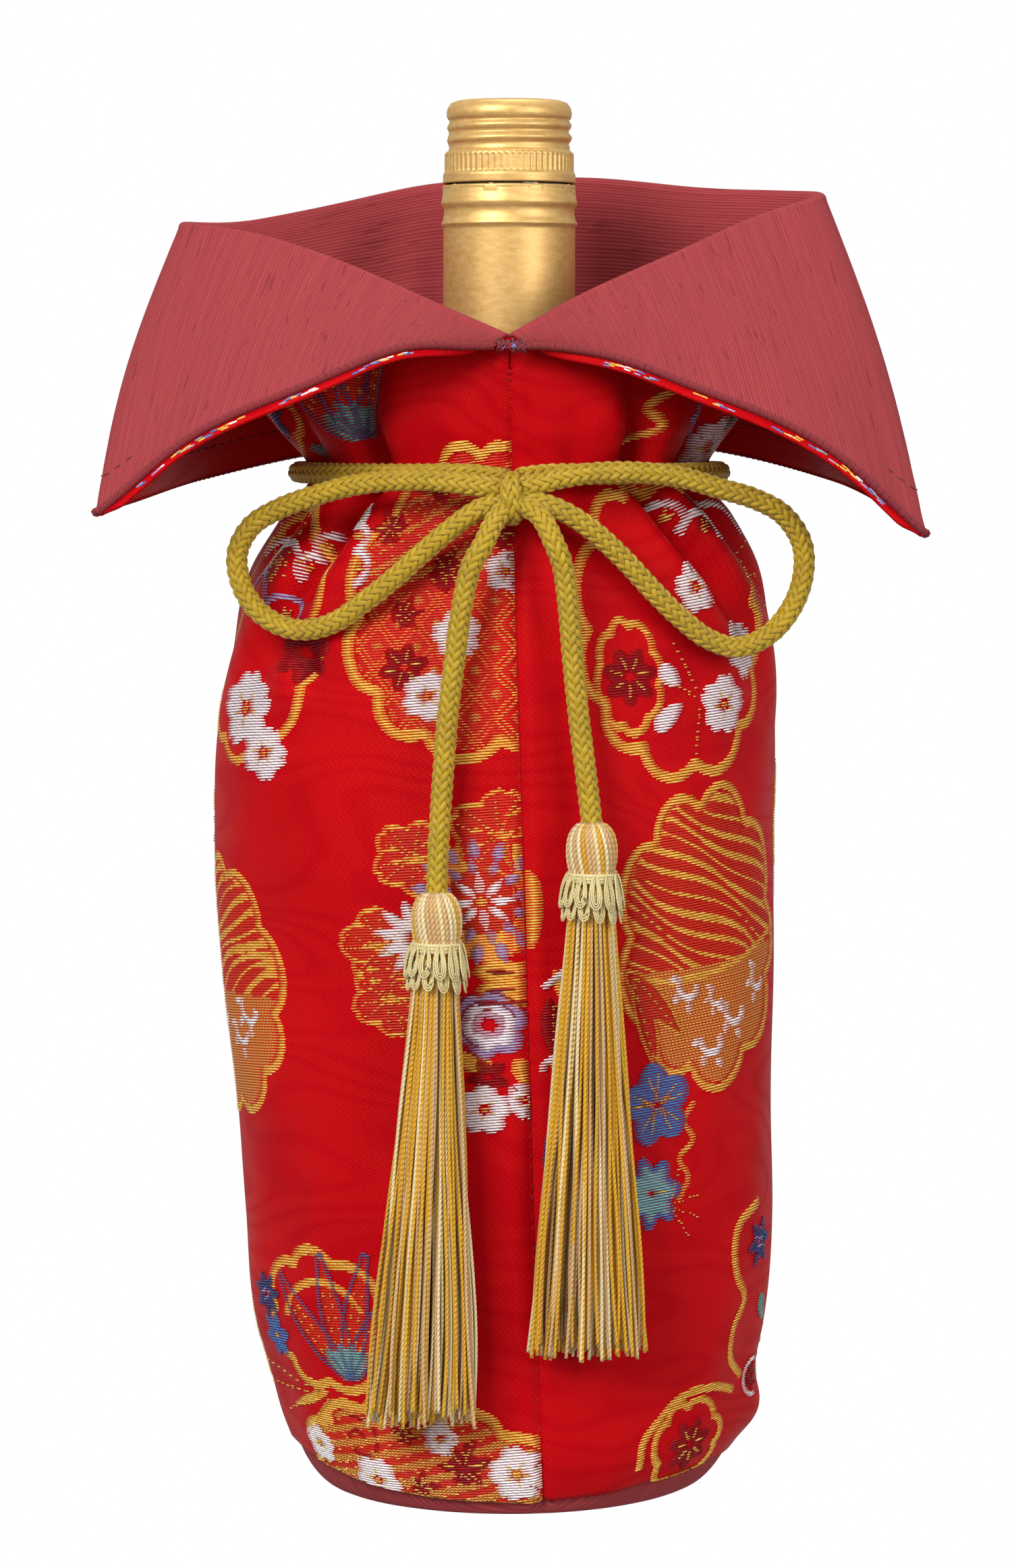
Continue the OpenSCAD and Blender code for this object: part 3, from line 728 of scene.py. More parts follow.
def braid(name, points, side, body, steps_per_mm=2.0):
    """A round braid of 16 strands, two over and two under, along a route. Returns it and its centre line."""
    path, run = resample(points, 1 / steps_per_mm)
    _, u, v = frames(path, side)
    sets = []
    middle = CORD_D / 2 - STRAND_THICK - 0.26
    for k in range(2 * STRANDS):
        way = 1 if k < STRANDS else -1
        turn = way * TAU * run / BRAID_TURN + k * TAU / STRANDS
        weave = way * 0.36 * np.cos(4 * TAU * run / BRAID_TURN + k * math.pi + way * math.pi / 4)
        radial = np.cos(turn)[:, None] * u + np.sin(turn)[:, None] * v
        line = path + radial * (middle + weave)[:, None]
        sets.append((line, radial))
    return braid_mesh(name, sets, body), path


def braid_mesh(name, sets, body, sides=6):
    """The strands of a braid: flat ribbons, each lying wide on the cord's skin."""
    strands = Tubes()
    angle = np.arange(sides) * TAU / sides
    for k, (line, radial) in enumerate(sets):
        wide = unit(np.cross(unit(np.gradient(line, axis=0)), radial))
        ring = (STRAND_WIDE * np.cos(angle)[None, :, None] * wide[:, None]
                + STRAND_THICK * np.sin(angle)[None, :, None] * radial[:, None])
        strands.put(line[:, None] + ring, np.cos(angle)[None] * 0.5 + 2 * k, run_along(line))
    return strands.build(name, CORD_MATERIAL, body, "cord", False)


NECK_HALF = [
    [-8, -37.2], [-21.4, -33.4], [-32.8, -26.2], [-40.4, -17.5], [-44.8, -7.7], [-45.7, 2.6],
    [-43, 12.7], [-37, 21.9], [-28.2, 29.4], [-17.1, 34.6], [-6, 37.1]]
LOOPS = {
    "left": [
        [-5.5, -44, 219], [-11, -44, 219.8], [-18, -43, 220.4], [-26, -41.5, 220.2], [-34, -39, 219],
        [-42, -36, 216.7], [-49, -33.5, 214], [-54.5, -31.5, 210.5], [-57.5, -30.5, 205],
        [-57, -30.5, 199], [-54, -31, 193.5], [-49, -32, 189.8], [-43, -34, 188.7],
        [-36.5, -37, 190.6], [-30.5, -39.5, 194.8], [-24, -41.5, 200], [-17.5, -43, 205.8],
        [-12.5, -44, 210], [-8.5, -44.5, 213]],
    "right": [
        [5.5, -44, 219.5], [11, -44, 220.9], [18, -43, 221.9], [27, -41.5, 222], [36, -39, 220.9],
        [44, -36.5, 218.6], [52, -34, 216.2], [58, -32, 212.8], [62, -30.5, 206.5],
        [62, -30.5, 199], [59, -31, 192], [54, -32, 187], [48, -33, 185], [42, -35, 186.8],
        [36, -37.5, 191.4], [30, -39.5, 197.3], [23.5, -41.5, 204.3], [16.5, -43.5, 210.6], [11, -44.5, 214]]}
TAILS = {
    "left": [
        [-5.5, -49.4, 207], [-7.8, -49.2, 203], [-9.8, -48.4, 194.5], [-11.4, -47.9, 183],
        [-12.8, -48, 171.5], [-13.8, -48.4, 159.5], [-14.6, -48.9, 147], [-15.2, -49.5, 134]],
    "right": [
        [9.5, -49.4, 207], [11, -49.2, 203], [12.2, -48.4, 195], [13.2, -47.9, 183.5],
        [14.5, -48.2, 171], [16, -48.9, 159], [17.2, -49.5, 148.6]]}
KNOT_AT = arr([0.5, -43.2, 216.6])
# Where each end runs on inside the knot
INTO_KNOT = {
    "left": ([[0.5, -42.6, 218.2]], [[-4.5, -44.2, 215.2], [0, -43.4, 216.4]]),
    "right": ([[0.5, -42.6, 218.6]], [[5.5, -44.2, 216], [1, -43.4, 217]])}
TAIL_IN_KNOT = {
    "left": [[0.5, -44.6, 215.6], [-2.6, -47.2, 212.6]],
    "right": [[1.5, -44.6, 215.8], [6.2, -47.0, 213.2]]}


def make_neck_cord():
    """The cord's turn round the neck, behind the bow."""
    half = [[x, y, NECK_Z] for x, y in NECK_HALF]
    route = ([[-1, -39.0, 220.6]] + half + [[-x, y, z] for x, y, z in half[::-1]] + [[2, -39.0, 220.8]])
    piece, path = braid("neck_cord_braid", route, (0, 0, 1), "bag")
    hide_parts("neck_cord")


def make_loop(hand):
    """One loop of the bow, with both its ends in the knot."""
    first, last = INTO_KNOT[hand]
    piece, path = braid(f"bow_loop_{hand}_braid", first + LOOPS[hand] + last, (0, 1, 0), "bag")
    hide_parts(f"bow_loop_{hand}")


def make_tail(hand):
    """One hanging end of the cord, from the knot into its tassel's head."""
    route = TAIL_IN_KNOT[hand] + TAILS[hand]
    route = route + [[*(arr(route[-1]) + [0.1, 0, -4.5])]]
    piece, path = braid(f"tail_cord_{hand}_braid", route, (0, 1, 0), None)
    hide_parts(f"tail_cord_{hand}", f"cord_end_{hand}")
    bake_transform(piece)


def make_knot():
    """The wrap of the bow: one slanting turn of the cord over all the others."""
    turn = np.radians(np.linspace(-172, 172, 15))
    lean = math.radians(14)
    ring = np.stack([1.5 * turn / math.pi, -3.3 * np.cos(turn), 3.5 * np.sin(turn)], 1)
    tilt = arr([[math.cos(lean), 0, -math.sin(lean)], [0, 1, 0], [math.sin(lean), 0, math.cos(lean)]])
    piece, _ = braid("bow_knot_braid", KNOT_AT + ring @ tilt.T, (1, 0, 0), "bag", 2.4)
    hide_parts("bow_knot")


# ------------------------------------------------------------------ tassels
TASSEL_TOP = {"left": arr([-15.2, -49.5, 133.5]), "right": arr([17.2, -49.5, 148.1])}
TASSEL_LEAN = {"left": -3.2, "right": -0.8}
TASSEL_LONG, HEAD_LONG = 111.0, 11.0
FRINGE_Y = -1.6               # how far the fringe's end hangs out in front of its head
YARN_R = 0.36
YARN_TWIST = 2.3              # mm of yarn for one turn of its two plies


class Yarns(Tubes):
    """Two-ply yarns gathered into one mesh: slightly flat tubes that turn as they run."""

    def spin(self, path, radius, lane, side=(0, 1, 0), sides=8):
        run = run_along(path)
        _, u, v = frames(path, side)
        angle = np.arange(sides) * TAU / sides
        r = radius * (1 + 0.1 * np.cos(2 * angle[None] - TAU * run[:, None] / YARN_TWIST * 2))
        round_it = np.cos(angle)[None, :, None] * u[:, None] + np.sin(angle)[None, :, None] * v[:, None]
        self.put(path[:, None] + r[..., None] * round_it, 2 * lane + angle[None] / TAU, run)


def make_tassel(hand, rng):
    """Head, tie, gimp loops and fringe of one tassel. Returns the pieces of the head."""
    top, lean = TASSEL_TOP[hand], TASSEL_LEAN[hand]
    body = f"tassel_{hand}"
    heads = {colour: Yarns() for colour in YARN_COLOURS}
    profile = arr([[2.0, 0.7], [3.2, 0.1], [4.3, -1.5], [4.8, -3.6], [4.85, -5.8], [4.6, -7.8],
                   [4.2, -9.4], [4.1, -10.6]])
    count = 30
    order = rng.permutation([name for name in YARN_COLOURS for _ in range(count // 3)])
    line, _ = resample(np.stack([profile[:, 0], 0 * profile[:, 0], profile[:, 1]], 1), 0.5)
    for k in range(count):
        swirl = k * TAU / count - 0.028 * line[:, 2] + 0.03 * math.sin(7 * k)
        path = top + turned(line[:, 0], swirl, line[:, 2])
        heads[order[k]].spin(path, 0.56, k, (math.sin(swirl[0]), -math.cos(swirl[0]), 0.01))
    pieces = []
    for colour, yarns in heads.items():
        pieces.append(yarns.build(f"tassel_head_{hand}_{colour}", YARN_COLOURS[colour], body, "yarn"))
    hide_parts(f"tassel_head_{hand}")
    pieces.append(make_core(hand, top, body))
    tie = Yarns()
    t = np.linspace(0, 3 * TAU, 150)
    tie.spin(top + turned(4.9, t, -9.2 - 0.34 * t / TAU * 2), 0.42, 0, (0.01, 0, 1))
    pieces.append(tie.build(f"tassel_tie_{hand}_yarn", GIMP, body, "gimp"))
    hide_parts(f"tassel_tie_{hand}")
    make_gimp(hand, top, body)
    make_fringe(hand, top, lean, body, rng)
    return pieces


def make_core(hand, top, body):
    """The bundle of yarn inside the head, seen only between the yarns."""
    profile = [(0.2, 0.3), (2.4, 0.1), (3.9, -1.4), (4.5, -3.2), (4.55, -5.6), (4.0, -8), (3.8, -10.8),
               (0.2, -10.8)]
    core = lathe(f"tassel_core_{hand}", profile, 28, YARN_COLOURS["tan"], body)
    core.data.transform(Matrix.Translation(top * MM))
    return core


# Loops in the row, how far down it starts, the loops' length, turn in loops, radius and flare
GIMP_ROWS = ((13, 9.6, 7.0, 0.0, 5.2, 1.5), (12, 12.2, 7.2, 0.5, 4.9, 1.3))


def make_gimp(hand, top, body):
    """Two rows of hanging loops of metal gimp, each of three fine wires, sewn round below the head."""
    gimp = Yarns()
    t = np.linspace(0, 1, 23)
    share = (1 - np.cos(TAU * t)) / 2
    for count, start, drop, offset, radius, flare in GIMP_ROWS:
        for k in range(count):
            uneven = math.sin(5.3 * k + count)
            for wire in range(3):
                size = (1 - 0.3 * wire) * (1 + 0.08 * uneven)
                swing = -0.235 * np.sin(TAU * t) * (0.72 + 0.28 * share) * size + 0.03 * uneven
                down = -start - 0.35 * wire - (drop + 0.5 * uneven - 0.9 * wire) * share
                r = radius + flare * share ** 0.7 + 0.24 * np.sin(TAU * t) + 0.1 * (1 - wire)
                angle = (k + offset) * TAU / count + swing
                back = r * np.sin(angle)
                back = np.where(back > 2, 2 + 0.35 * (back - 2), back)      # pressed flat against the bag
                path = top + np.stack([r * np.cos(angle), back, down], 1)
                gimp.spin(path, 0.2, 3 * k + wire, (0.3, 0.2, 1), 5)
    obj = gimp.build(f"tassel_loops_{hand}_gimp", GIMP, body, "gimp")
    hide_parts(f"tassel_loops_{hand}")


def make_fringe(hand, top, lean, body, rng):
    """Twisted yarns of three colours that hang from the tie and spread."""
    sets = {colour: Yarns() for colour in YARN_COLOURS}
    names = list(YARN_COLOURS)
    count = 205
    golden = math.pi * (3 - math.sqrt(5))
    for k in range(count):
        share = math.sqrt((k + 0.5) / count)
        angle = k * golden + 0.2 * rng.standard_normal()
        direction = arr([math.cos(angle), math.sin(angle)])
        end = direction * share * [12.2, 6.0] * (1 + 0.06 * rng.standard_normal())
        start = direction * share * 4.3
        long = TASSEL_LONG + rng.uniform(-3.6, 1.4)
        stray = 1 + (0.14 if k % 37 == 35 else 0.0)
        curl = rng.uniform(-1.3, 1.3, 2)
        t = np.linspace(0, 1, 12)
        spread = smooth(t) * 0.35 + t * 0.65
        x = start[0] + (end[0] * stray - start[0]) * spread + lean * t + curl[0] * np.sin(math.pi * 2 * t) * t
        y = start[1] + (end[1] - start[1]) * spread + FRINGE_Y * t + curl[1] * np.sin(math.pi * 1.7 * t) * t
        z = -HEAD_LONG + 0.6 - (long - HEAD_LONG) * t
        path, _ = resample(top + np.stack([x, y, z], 1), 1.1 if share > 0.6 else 2.4)
        colour = names[int(rng.choice(3, p=[0.46, 0.24, 0.30]))]
        sets[colour].spin(path, YARN_R * rng.uniform(0.92, 1.06), k, (0, 1, 0), 7 if share > 0.6 else 5)
    for n, (colour, yarns) in enumerate(sets.items()):
        obj = yarns.build(f"tassel_fringe_{hand}_{colour}", YARN_COLOURS[colour], body, "yarn")
        if n == 0:
            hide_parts(f"tassel_fringe_{hand}")


# ------------------------------------------------------------------ cap
def make_cap():
    """The rolled aluminium cap and, under its line of bridges, the skirt."""
    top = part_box("cap_shell")[1].z / MM
    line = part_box("cap_skirt")[1].z / MM
    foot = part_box("cap_skirt")[0].z / MM
    # radius and height from the cap's top, then from its line of bridges
    outer = [(0.3, 0), (8, 0.0), (11.3, -0.1), (12.6, -0.6), (13.3, -1.6), (13.55, -2.6), (13.5, -3.6),
             (13.2, -4.1), (12.95, -4.4), (13.1, -4.8), (13.4, -5.3), (13.4, -6.0), (13.05, -6.5),
             (12.95, -6.9),
             (13.15, -7.3), (13.45, -7.9), (13.45, -8.6), (13.1, -9.3), (12.95, -10.0), (13.0, -10.6),
             (13.6, -11.1), (13.95, -11.5), (14.0, -12.0)]
    outer += [(14.0, -11.8 - 0.26 * k) for k in range(1, 15)]
    outer += [(14.25, -15.7), (14.35, -16.1), (14.35, -17.9)]
    inner = [(13.5, -17.9), (13.1, -11.5), (12.9, -1.6), (12.2, -0.7), (0.3, -0.45)]
    profile = dense([(r, top + z) for r, z in outer + inner], 0.35)

    def knurls(z, angle):
        down = top - z
        band = smooth((down - 11.6) / 0.5) * (1 - smooth((down - 15.2) / 0.6))
        thread = 0.16 * np.sin(angle + (down - 4.4) * 2.3)
        thread = thread * smooth((down - 4.2) / 0.4) * (1 - smooth((down - 10) / 0.5))
        return -0.22 * band * np.clip(np.cos(angle * 62) * 1.6 + 0.4, 0, 1) ** 0.7 + thread
    cap = lathe("cap_shell_metal", profile, 496, cap_metal("cap metal"), "cap", knurls)
    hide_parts("cap_shell")
    outer = [(14.15, 0), (14.4, -0.2), (14.42, -1.4), (14.35, -1.9), (14.5, -2.3), (14.55, -3.0),
             (14.75, -3.6), (14.7, -4.2), (14.3, -4.8), (14.15, -5.3), (14.15, -6.2), (14.28, -6.9),
             (14.4, -7.5), (14.78, -8.2), (14.78, -8.5), (14.32, -8.9), (14.28, -9.6)]
    outer = [(r, line + z) for r, z in outer] + [(14.3, foot + 12), (14.35, foot)]
    inner = [(14.1, foot), (14.04, line - 9), (14.04, line - 4), (14.04, line)]

    def slots(z, angle):
        down = line - z
        panel = smooth((down - 0.35) / 0.15) * (1 - smooth((down - 1.25) / 0.15))
        return -0.13 * panel * (np.cos(angle * 9 + 1.0) > -0.55) * (np.abs(down - 0.8) < 1.2)
    skirt = lathe("cap_skirt_metal", dense(outer + inner, 0.4), 360, cap_metal("skirt metal"), "bag",
                  slots)
    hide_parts("cap_skirt")
    make_bridges(line)


def dense(profile, step):
    """The same outline with points no further apart than step."""
    profile = arr(profile)
    made = []
    for a, b in zip(profile, np.roll(profile, -1, axis=0)):
        parts = max(1, int(np.linalg.norm(b - a) / step)) if min(a[0], b[0]) > 1 else 1
        parts = min(parts, 24)
        made += [a + (b - a) * k / parts for k in range(parts)]
    return made


def make_bridges(line):
    """Nine little bridges of metal that hold the cap to its skirt."""
    bridges = Tubes()
    for k in range(9):
        a = (k + 0.35) * TAU / 9
        t = np.linspace(-0.035, 0.035, 5)
        path = turned(14.2, a + t, line - 0.12)
        bridges.add(path, 0.24, 8, (0, 0, 1))
    bridges.build("cap_bridges", cap_metal("bridge metal"), "bag", "cap_metal")


# ------------------------------------------------------------------ cloth of the bag
SIDES = {"left": Surface(-1, 231, 250, 52, 13, 66), "right": Surface(1, 231, 250, 52, 13, 66)}
PIPING = 2.6                  # how far the brocade shows past the lining along the slit


def brocade_panel(hand):
    """The red cloth of one side: wall, funnel, and the underside of the collar out to its edge."""
    surface = SIDES[hand]
    face = surface.face(True, GAP + CLOTH)
    along = unit(face[-1] - face[-4])
    reach = PIPING * (1 - smooth((np.abs(surface.s) - 74) / 6)) * smooth(np.abs(surface.s) / 4)
    extra = np.stack([face[-1] + along * (reach * k / 3)[:, None] for k in (1, 2, 3)])
    grid = np.concatenate([face, extra])
    normals = np.concatenate([surface.normal, np.repeat(surface.normal[-1:], 3, 0)])
    uv = surface.uv()
    uv = np.concatenate([uv, np.stack([uv[-1] + [0, k * PIPING / 3] for k in (1, 2, 3)])])
    obj = cloth(f"brocade_{hand}_cloth", grid, normals, CLOTH, uv, BROCADE, surface.side < 0)
    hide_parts(f"brocade_{hand}", f"collar_brocade_{hand}")
    return obj


def lining_sheet(hand):
    """The maroon cloth of one side: inside of the bag, over the fold, and the collar's upper face."""
    surface = SIDES[hand]
    rows = surface.v >= 9
    face = surface.face(False, GAP + CLOTH)[rows]
    uv = np.stack(np.broadcast_arrays(surface.s[None], surface.v[rows][:, None]), -1)
    obj = cloth(f"lining_{hand}_cloth", face, -surface.normal[rows], CLOTH, uv, LINING,
                surface.side > 0)
    nodes = ["lining"] if hand == "left" else []
    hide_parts(*nodes, f"collar_facing_{hand}")
    return obj


def rolled_hem(hand):
    """The lining's turned edge round the collar, a soft roll with close stitches over it; its cloth is the
    lining's painted darker, as painted shade.
    """
    surface = SIDES[hand]
    edge = surface.face(False, GAP + CLOTH * 0.55)[-1]
    back = unit(surface.face(False, 0)[-4] - surface.face(False, 0)[-1])
    path = edge + back * 0.55
    hem = Tubes()
    fine, _ = resample(path[1:], 0.8)
    hem.add(fine, 1.05, 12, (0, 0.2, 1), 0.8)
    obj = hem.build(f"collar_hem_{hand}_roll", HEM, "bag", "lining")
    stitches = Tubes()
    tangent, u, v = frames(fine, (0, 0.2, 1))
    for k in range(2, len(fine) - 2, 2):
        angle = np.linspace(0, TAU, 9)[:-1]
        ring = fine[k] + 1.08 * (np.cos(angle)[:, None] * u[k] + 0.8 * np.sin(angle)[:, None] * v[k])
        ring = ring + tangent[k] * np.linspace(-0.35, 0.35, 8)[:, None]
        stitches.add(ring, 0.14, 5, tuple(tangent[k]))
    stitches.build(f"collar_hem_{hand}_stitches", MAROON_THREAD, "bag", "thread")
    return obj


def seam_stitches(name, points, normals, length, gap, radius, material, replaces=()):
    """Short threads that dip in and out of the cloth along a line."""
    path, run = resample(points, 0.25)
    n = np.stack([np.interp(np.linspace(0, 1, len(path)), np.linspace(0, 1, len(normals)), normals[:, k])
                  for k in range(3)], 1)
    threads = Tubes()
    at = 0.0
    while at + length < run[-1]:
        inside = (run >= at) & (run <= at + length)
        part, up = path[inside], n[inside]
        if len(part) > 3:
            t = np.linspace(0, 1, len(part))
            threads.add(part + up * (0.22 * np.sin(math.pi * t) - 0.08)[:, None], radius, 6, tuple(up[0]))
        at += length + gap
    obj = threads.build(name, material, "bag", "thread")
    if replaces:
        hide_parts(*replaces)
    return obj


def make_seams():
    """The stitches of the front and back seams, and round the collar on both its faces."""
    surface = SIDES["right"]
    rows = surface.v < V_FOLD - 6
    face = surface.face(True, GAP + CLOTH)[rows]
    for name, column in (("front_seam", 0), ("back_seam", -1)):
        normals = surface.normal[rows][:, column]
        seam_stitches(f"{name}_stitches", face[:, column], normals, 1.5, 0.7, 0.16, RED_THREAD, (name,))
    for hand, surface in SIDES.items():
        row = len(surface.v) - 9
        columns = slice(len(surface.s) * 46 // 100, None)
        face = surface.face(True, GAP + CLOTH)[row, columns]
        normals = surface.normal[row, columns]
        nodes = ("collar_stitching",) if hand == "left" else ()
        seam_stitches(f"collar_stitching_{hand}", face, normals, 1.9, 1.1, 0.16, RED_THREAD, nodes)
        # the same stitches' other face, on the lining
        face = surface.face(False, GAP + CLOTH)[row, columns]
        seam_stitches(f"collar_topstitch_{hand}", face, -normals, 1.9, 1.1, 0.15, MAROON_THREAD)


def make_tack():
    """The bar of close stitches over the foot of the slit, with scraps of a motif's threads caught in it."""
    low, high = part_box("front_tack")
    centre = (arr(low) + arr(high)) / 2 / MM + [0, -0.5, 1.0]
    rng = np.random.default_rng(4)
    kinds = (("stitches", MAROON_THREAD, 34, 3.6, 1.35), ("scraps", MOTIF_THREADS["slate"], 9, 1.5, 0.8),
             ("pale_scraps", MOTIF_THREADS["lavender"], 5, 1.3, 0.6),
             ("red_scraps", RED_THREAD, 16, 3.8, 1.2))
    for name, material, count, wide, tall in kinds:
        threads = Tubes()
        for _ in range(count):
            t = np.linspace(-1, 1, 7)
            turn = rng.uniform(-0.9, 0.9) + (0 if name == "stitches" else 1.2)
            long = tall * rng.uniform(0.6, 1.0)
            middle = [rng.uniform(-wide, wide), -0.25, rng.uniform(-0.5, 0.5)]
            arch = -0.75 * (1 - t * t) - rng.uniform(0, 0.3)
            path = centre + middle + np.stack([t * long * math.sin(turn), arch, t * long * math.cos(turn)], 1)
            threads.add(path, 0.19, 6, (0.2, 1, 0.1))
        obj = threads.build(f"front_tack_{name}", material, "bag", "thread")
        if name == "stitches":
            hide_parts("front_tack")


def make_piping_scraps():
    """Where a motif runs out over the piping, its threads show as short bits of colour."""
    rng = np.random.default_rng(8)
    colours = ("gold", "white", "gold", "blue", "lavender", "teal")
    for hand, surface in SIDES.items():
        face = surface.face(True, GAP + CLOTH)
        along = unit(face[-1] - face[-4])
        sets = {colour: Tubes() for colour in colours}
        inside = np.abs(surface.s)
        for start, end in ((16, 30), (36, 44), (50, 72)):
            columns = np.flatnonzero((inside > start) & (inside < end))
            for c in columns[:-2]:
                if rng.uniform() < 0.25:
                    continue
                colour = colours[int(3 * math.sin(c * 0.21 + start) ** 2 + rng.uniform(0, 2.9)) % 6]
                t = np.linspace(0, 1, 4)[:, None]
                base = face[-1, c] + (face[-1, c + 2] - face[-1, c]) * t
                path = base + along[c] * rng.uniform(0.9, PIPING - 0.3)
                path = path - surface.normal[-1, c] * (CLOTH + 0.06)
                sets[colour].add(path, 0.2, 5, (0.1, 0.2, 1))
        for colour, threads in sets.items():
            if threads.points:
                threads.build(f"piping_{hand}_{colour}", MOTIF_THREADS[colour], "bag", "brocade")


BASE_R = 37.6                 # radius of the flat part that the bag stands on


def make_base():
    """The maroon cloth under the bag: from the hem of the brocade down to the flat round base."""
    columns = 200
    right, left = SIDES["right"], SIDES["left"]
    hem = np.concatenate([right.mid[0], left.mid[0][::-1]])
    inward = np.concatenate([right.normal[0], left.normal[0][::-1]])
    hem = hem - inward * 0.5
    at = np.linspace(0, len(hem) - 1, columns, endpoint=False)
    ring = np.stack([np.interp(at, np.arange(len(hem)), hem[:, k]) for k in range(3)], 1)
    angle = np.arctan2(ring[:, 1], ring[:, 0])
    flat = turned(BASE_R, angle, 0.06)
    rows = []
    for t in np.linspace(0, 1, 15):
        point = ring + (flat - ring) * t
        swell = math.sin(math.pi * t) ** 0.8
        point[:, 2] -= swell * (0.32 * ring[:, 2] - 0.2)
        point[:, :2] *= 1 + 0.012 * swell
        point[:, 2] = np.maximum(point[:, 2], 0.06)
        rows.append(point)
    rows.insert(0, ring + [0, 0, 2.4])
    for share in (0.97, 0.9, 0.7, 0.45, 0.2, 0.02):
        rows.append(flat * [share, share, 1])
    outer = np.stack(rows)
    inner = outer.copy()
    inner[:, :, 2] += 0.9
    inner[:, :, :2] *= 0.985
    total = len(outer)
    n = total * columns
    points = np.concatenate([outer.reshape(-1, 3), inner.reshape(-1, 3)])
    faces = grid_faces(total, columns, 0, True, True) + grid_faces(total, columns, n, False, True)
    last = (total - 1) * columns
    for c in range(columns):
        d = (c + 1) % columns
        faces.append((c, d, d + n, c + n))
        faces.append((last + d, last + c, last + c + n, last + d + n))
    uv = np.concatenate([points[:n, :2]] * 2)
    obj = new_object("base_cover_cloth", points, faces, uv, LINING, "bag")
    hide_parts("base_cover")


# ------------------------------------------------------------------ woven motifs
WEFT = 0.58                   # mm between the motif's weft threads
SLANT = 0.09                  # how much a weft thread rises per mm to the right
# How high each colour's threads lie over the ground, in mm
LAYERS = {"dots": 0.1, "orange": 0.12, "gold": 0.16, "dark": 0.22, "teal": 0.26, "light_blue": 0.26,
          "blue": 0.3, "lavender": 0.3, "pink": 0.32, "white": 0.36, "navy": 0.4, "slate": 0.42,
          "fine_gold": 0.46}
THREAD_TALL = 0.2             # mm that a thread's ridge stands over its layer


def row_runs(shapes):
    """{row: [(start, end)]} of weft rows inside closed outlines given in cloth mm; overlaps are merged."""
    found = {}
    for shape in shapes:
        x, y = shape[:, 0], shape[:, 1] - SLANT * shape[:, 0]
        x2, y2 = np.roll(x, -1), np.roll(y, -1)
        for row in range(math.ceil(y.min() / WEFT - 0.5), math.floor(y.max() / WEFT - 0.5) + 1):
            level = (row + 0.5) * WEFT
            hit = (y <= level) != (y2 <= level)
            cuts = np.sort(x[hit] + (level - y[hit]) / (y2[hit] - y[hit]) * (x2[hit] - x[hit]))
            found.setdefault(row, []).extend(zip(cuts[::2], cuts[1::2]))
    return {row: merge(spans) for row, spans in found.items()}


def merge(spans):
    """Spans in order, with those that touch made one."""
    made = []
    for a, b in sorted(spans):
        if made and a <= made[-1][1] + 0.12:
            made[-1][1] = max(made[-1][1], b)
        else:
            made.append([a, b])
    return made


def overlap(runs, clip):
    """The stretches of runs that also lie inside clip."""
    made = {}
    for row, spans in runs.items():
        for a, b in spans:
            for c, d in clip.get(row, []):
                if min(b, d) - max(a, c) > 0.2:
                    made.setdefault(row, []).append([max(a, c), min(b, d)])
    return made


class Weaver:
    """Gathers the motif threads of both panels by colour, then builds one mesh for each."""

    def __init__(self):
        self.threads = {}
        self.only = None          # "left" or "right" keeps a motif to one panel, cut at the seam
        self.rng = np.random.default_rng(23)

    def weave(self, colour, shapes, clip=None, lift=0.0):
        runs = row_runs(shapes)
        if clip is not None:
            runs = overlap(runs, clip)
        for row, spans in runs.items():
            for a, b in spans:
                a, b = a + self.rng.uniform(-0.13, 0.13), b + self.rng.uniform(-0.13, 0.13)
                for hand, low, high in (("left", -HALF_ROUND + 1, -0.55), ("right", 0.55, HALF_ROUND - 1)):
                    start, end = max(a, low), min(b, high)
                    if end - start > 0.3 and self.only in (None, hand):
                        self.threads.setdefault((hand, colour), []).append((row, start, end, lift))

    def build(self):
        for (hand, colour), threads in sorted(self.threads.items()):
            surface = SIDES[hand]
            s, h, away, faces, count = [], [], [], [], 0
            half = WEFT * 0.41
            for row, start, end, lift in threads:
                n = max(2, int((end - start) / 2.0) + 2)
                at = np.linspace(start, end, n)
                level = (row + 0.5) * WEFT + SLANT * at
                thin = np.ones(n)
                thin[[0, -1]] = 0.55
                for k in range(n):
                    s += [at[k]] * 4
                    h += [level[k] - half * thin[k], level[k], level[k] + half * thin[k], level[k]]
                    z = LAYERS[colour] + lift
                    away += [z - 0.1, z + THREAD_TALL * (0.5 + 0.5 * thin[k] ** 2), z - 0.1, z - 0.35]
                faces += grid_faces(n, 4, count, False, True)
                faces.append((count + 3, count + 2, count + 1, count))
                last = count + 4 * (n - 1)
                faces.append((last, last + 1, last + 2, last + 3))
                count += 4 * n
            s, h = arr(s), arr(h)
            points = surface.place(s, h, arr(away))
            if surface.side < 0:
                faces = [face[::-1] for face in faces]
            new_object(f"motif_{hand}_{colour}", points, faces, np.stack([s, h], 1), MOTIF_THREADS[colour],
                       "bag")


def spot(x, z):
    """Cloth coordinates of the place on the front that lies at x and height z, in mm."""
    half_left, half_right = hermite(WALL_ROWS[:, 0], WALL_ROWS[:, 1:3], z)
    seen = math.asin(np.clip(x / (half_left if x < 0 else half_right), -0.985, 0.985))
    lean = seam_lean(z, half_right)
    turn = seen - lean * (1 - abs(seen) / math.pi) ** 3
    return arr([math.copysign(float(np.interp(abs(turn) / math.pi, ARC_U, ARC_S)), turn), z])


def polar(centre, radius, angle):
    return arr(centre) + np.stack([radius * np.cos(angle), radius * np.sin(angle)], -1)


def disc(centre, radius, corners):
    return polar(centre, radius, np.linspace(0, TAU, corners + 1)[:-1])


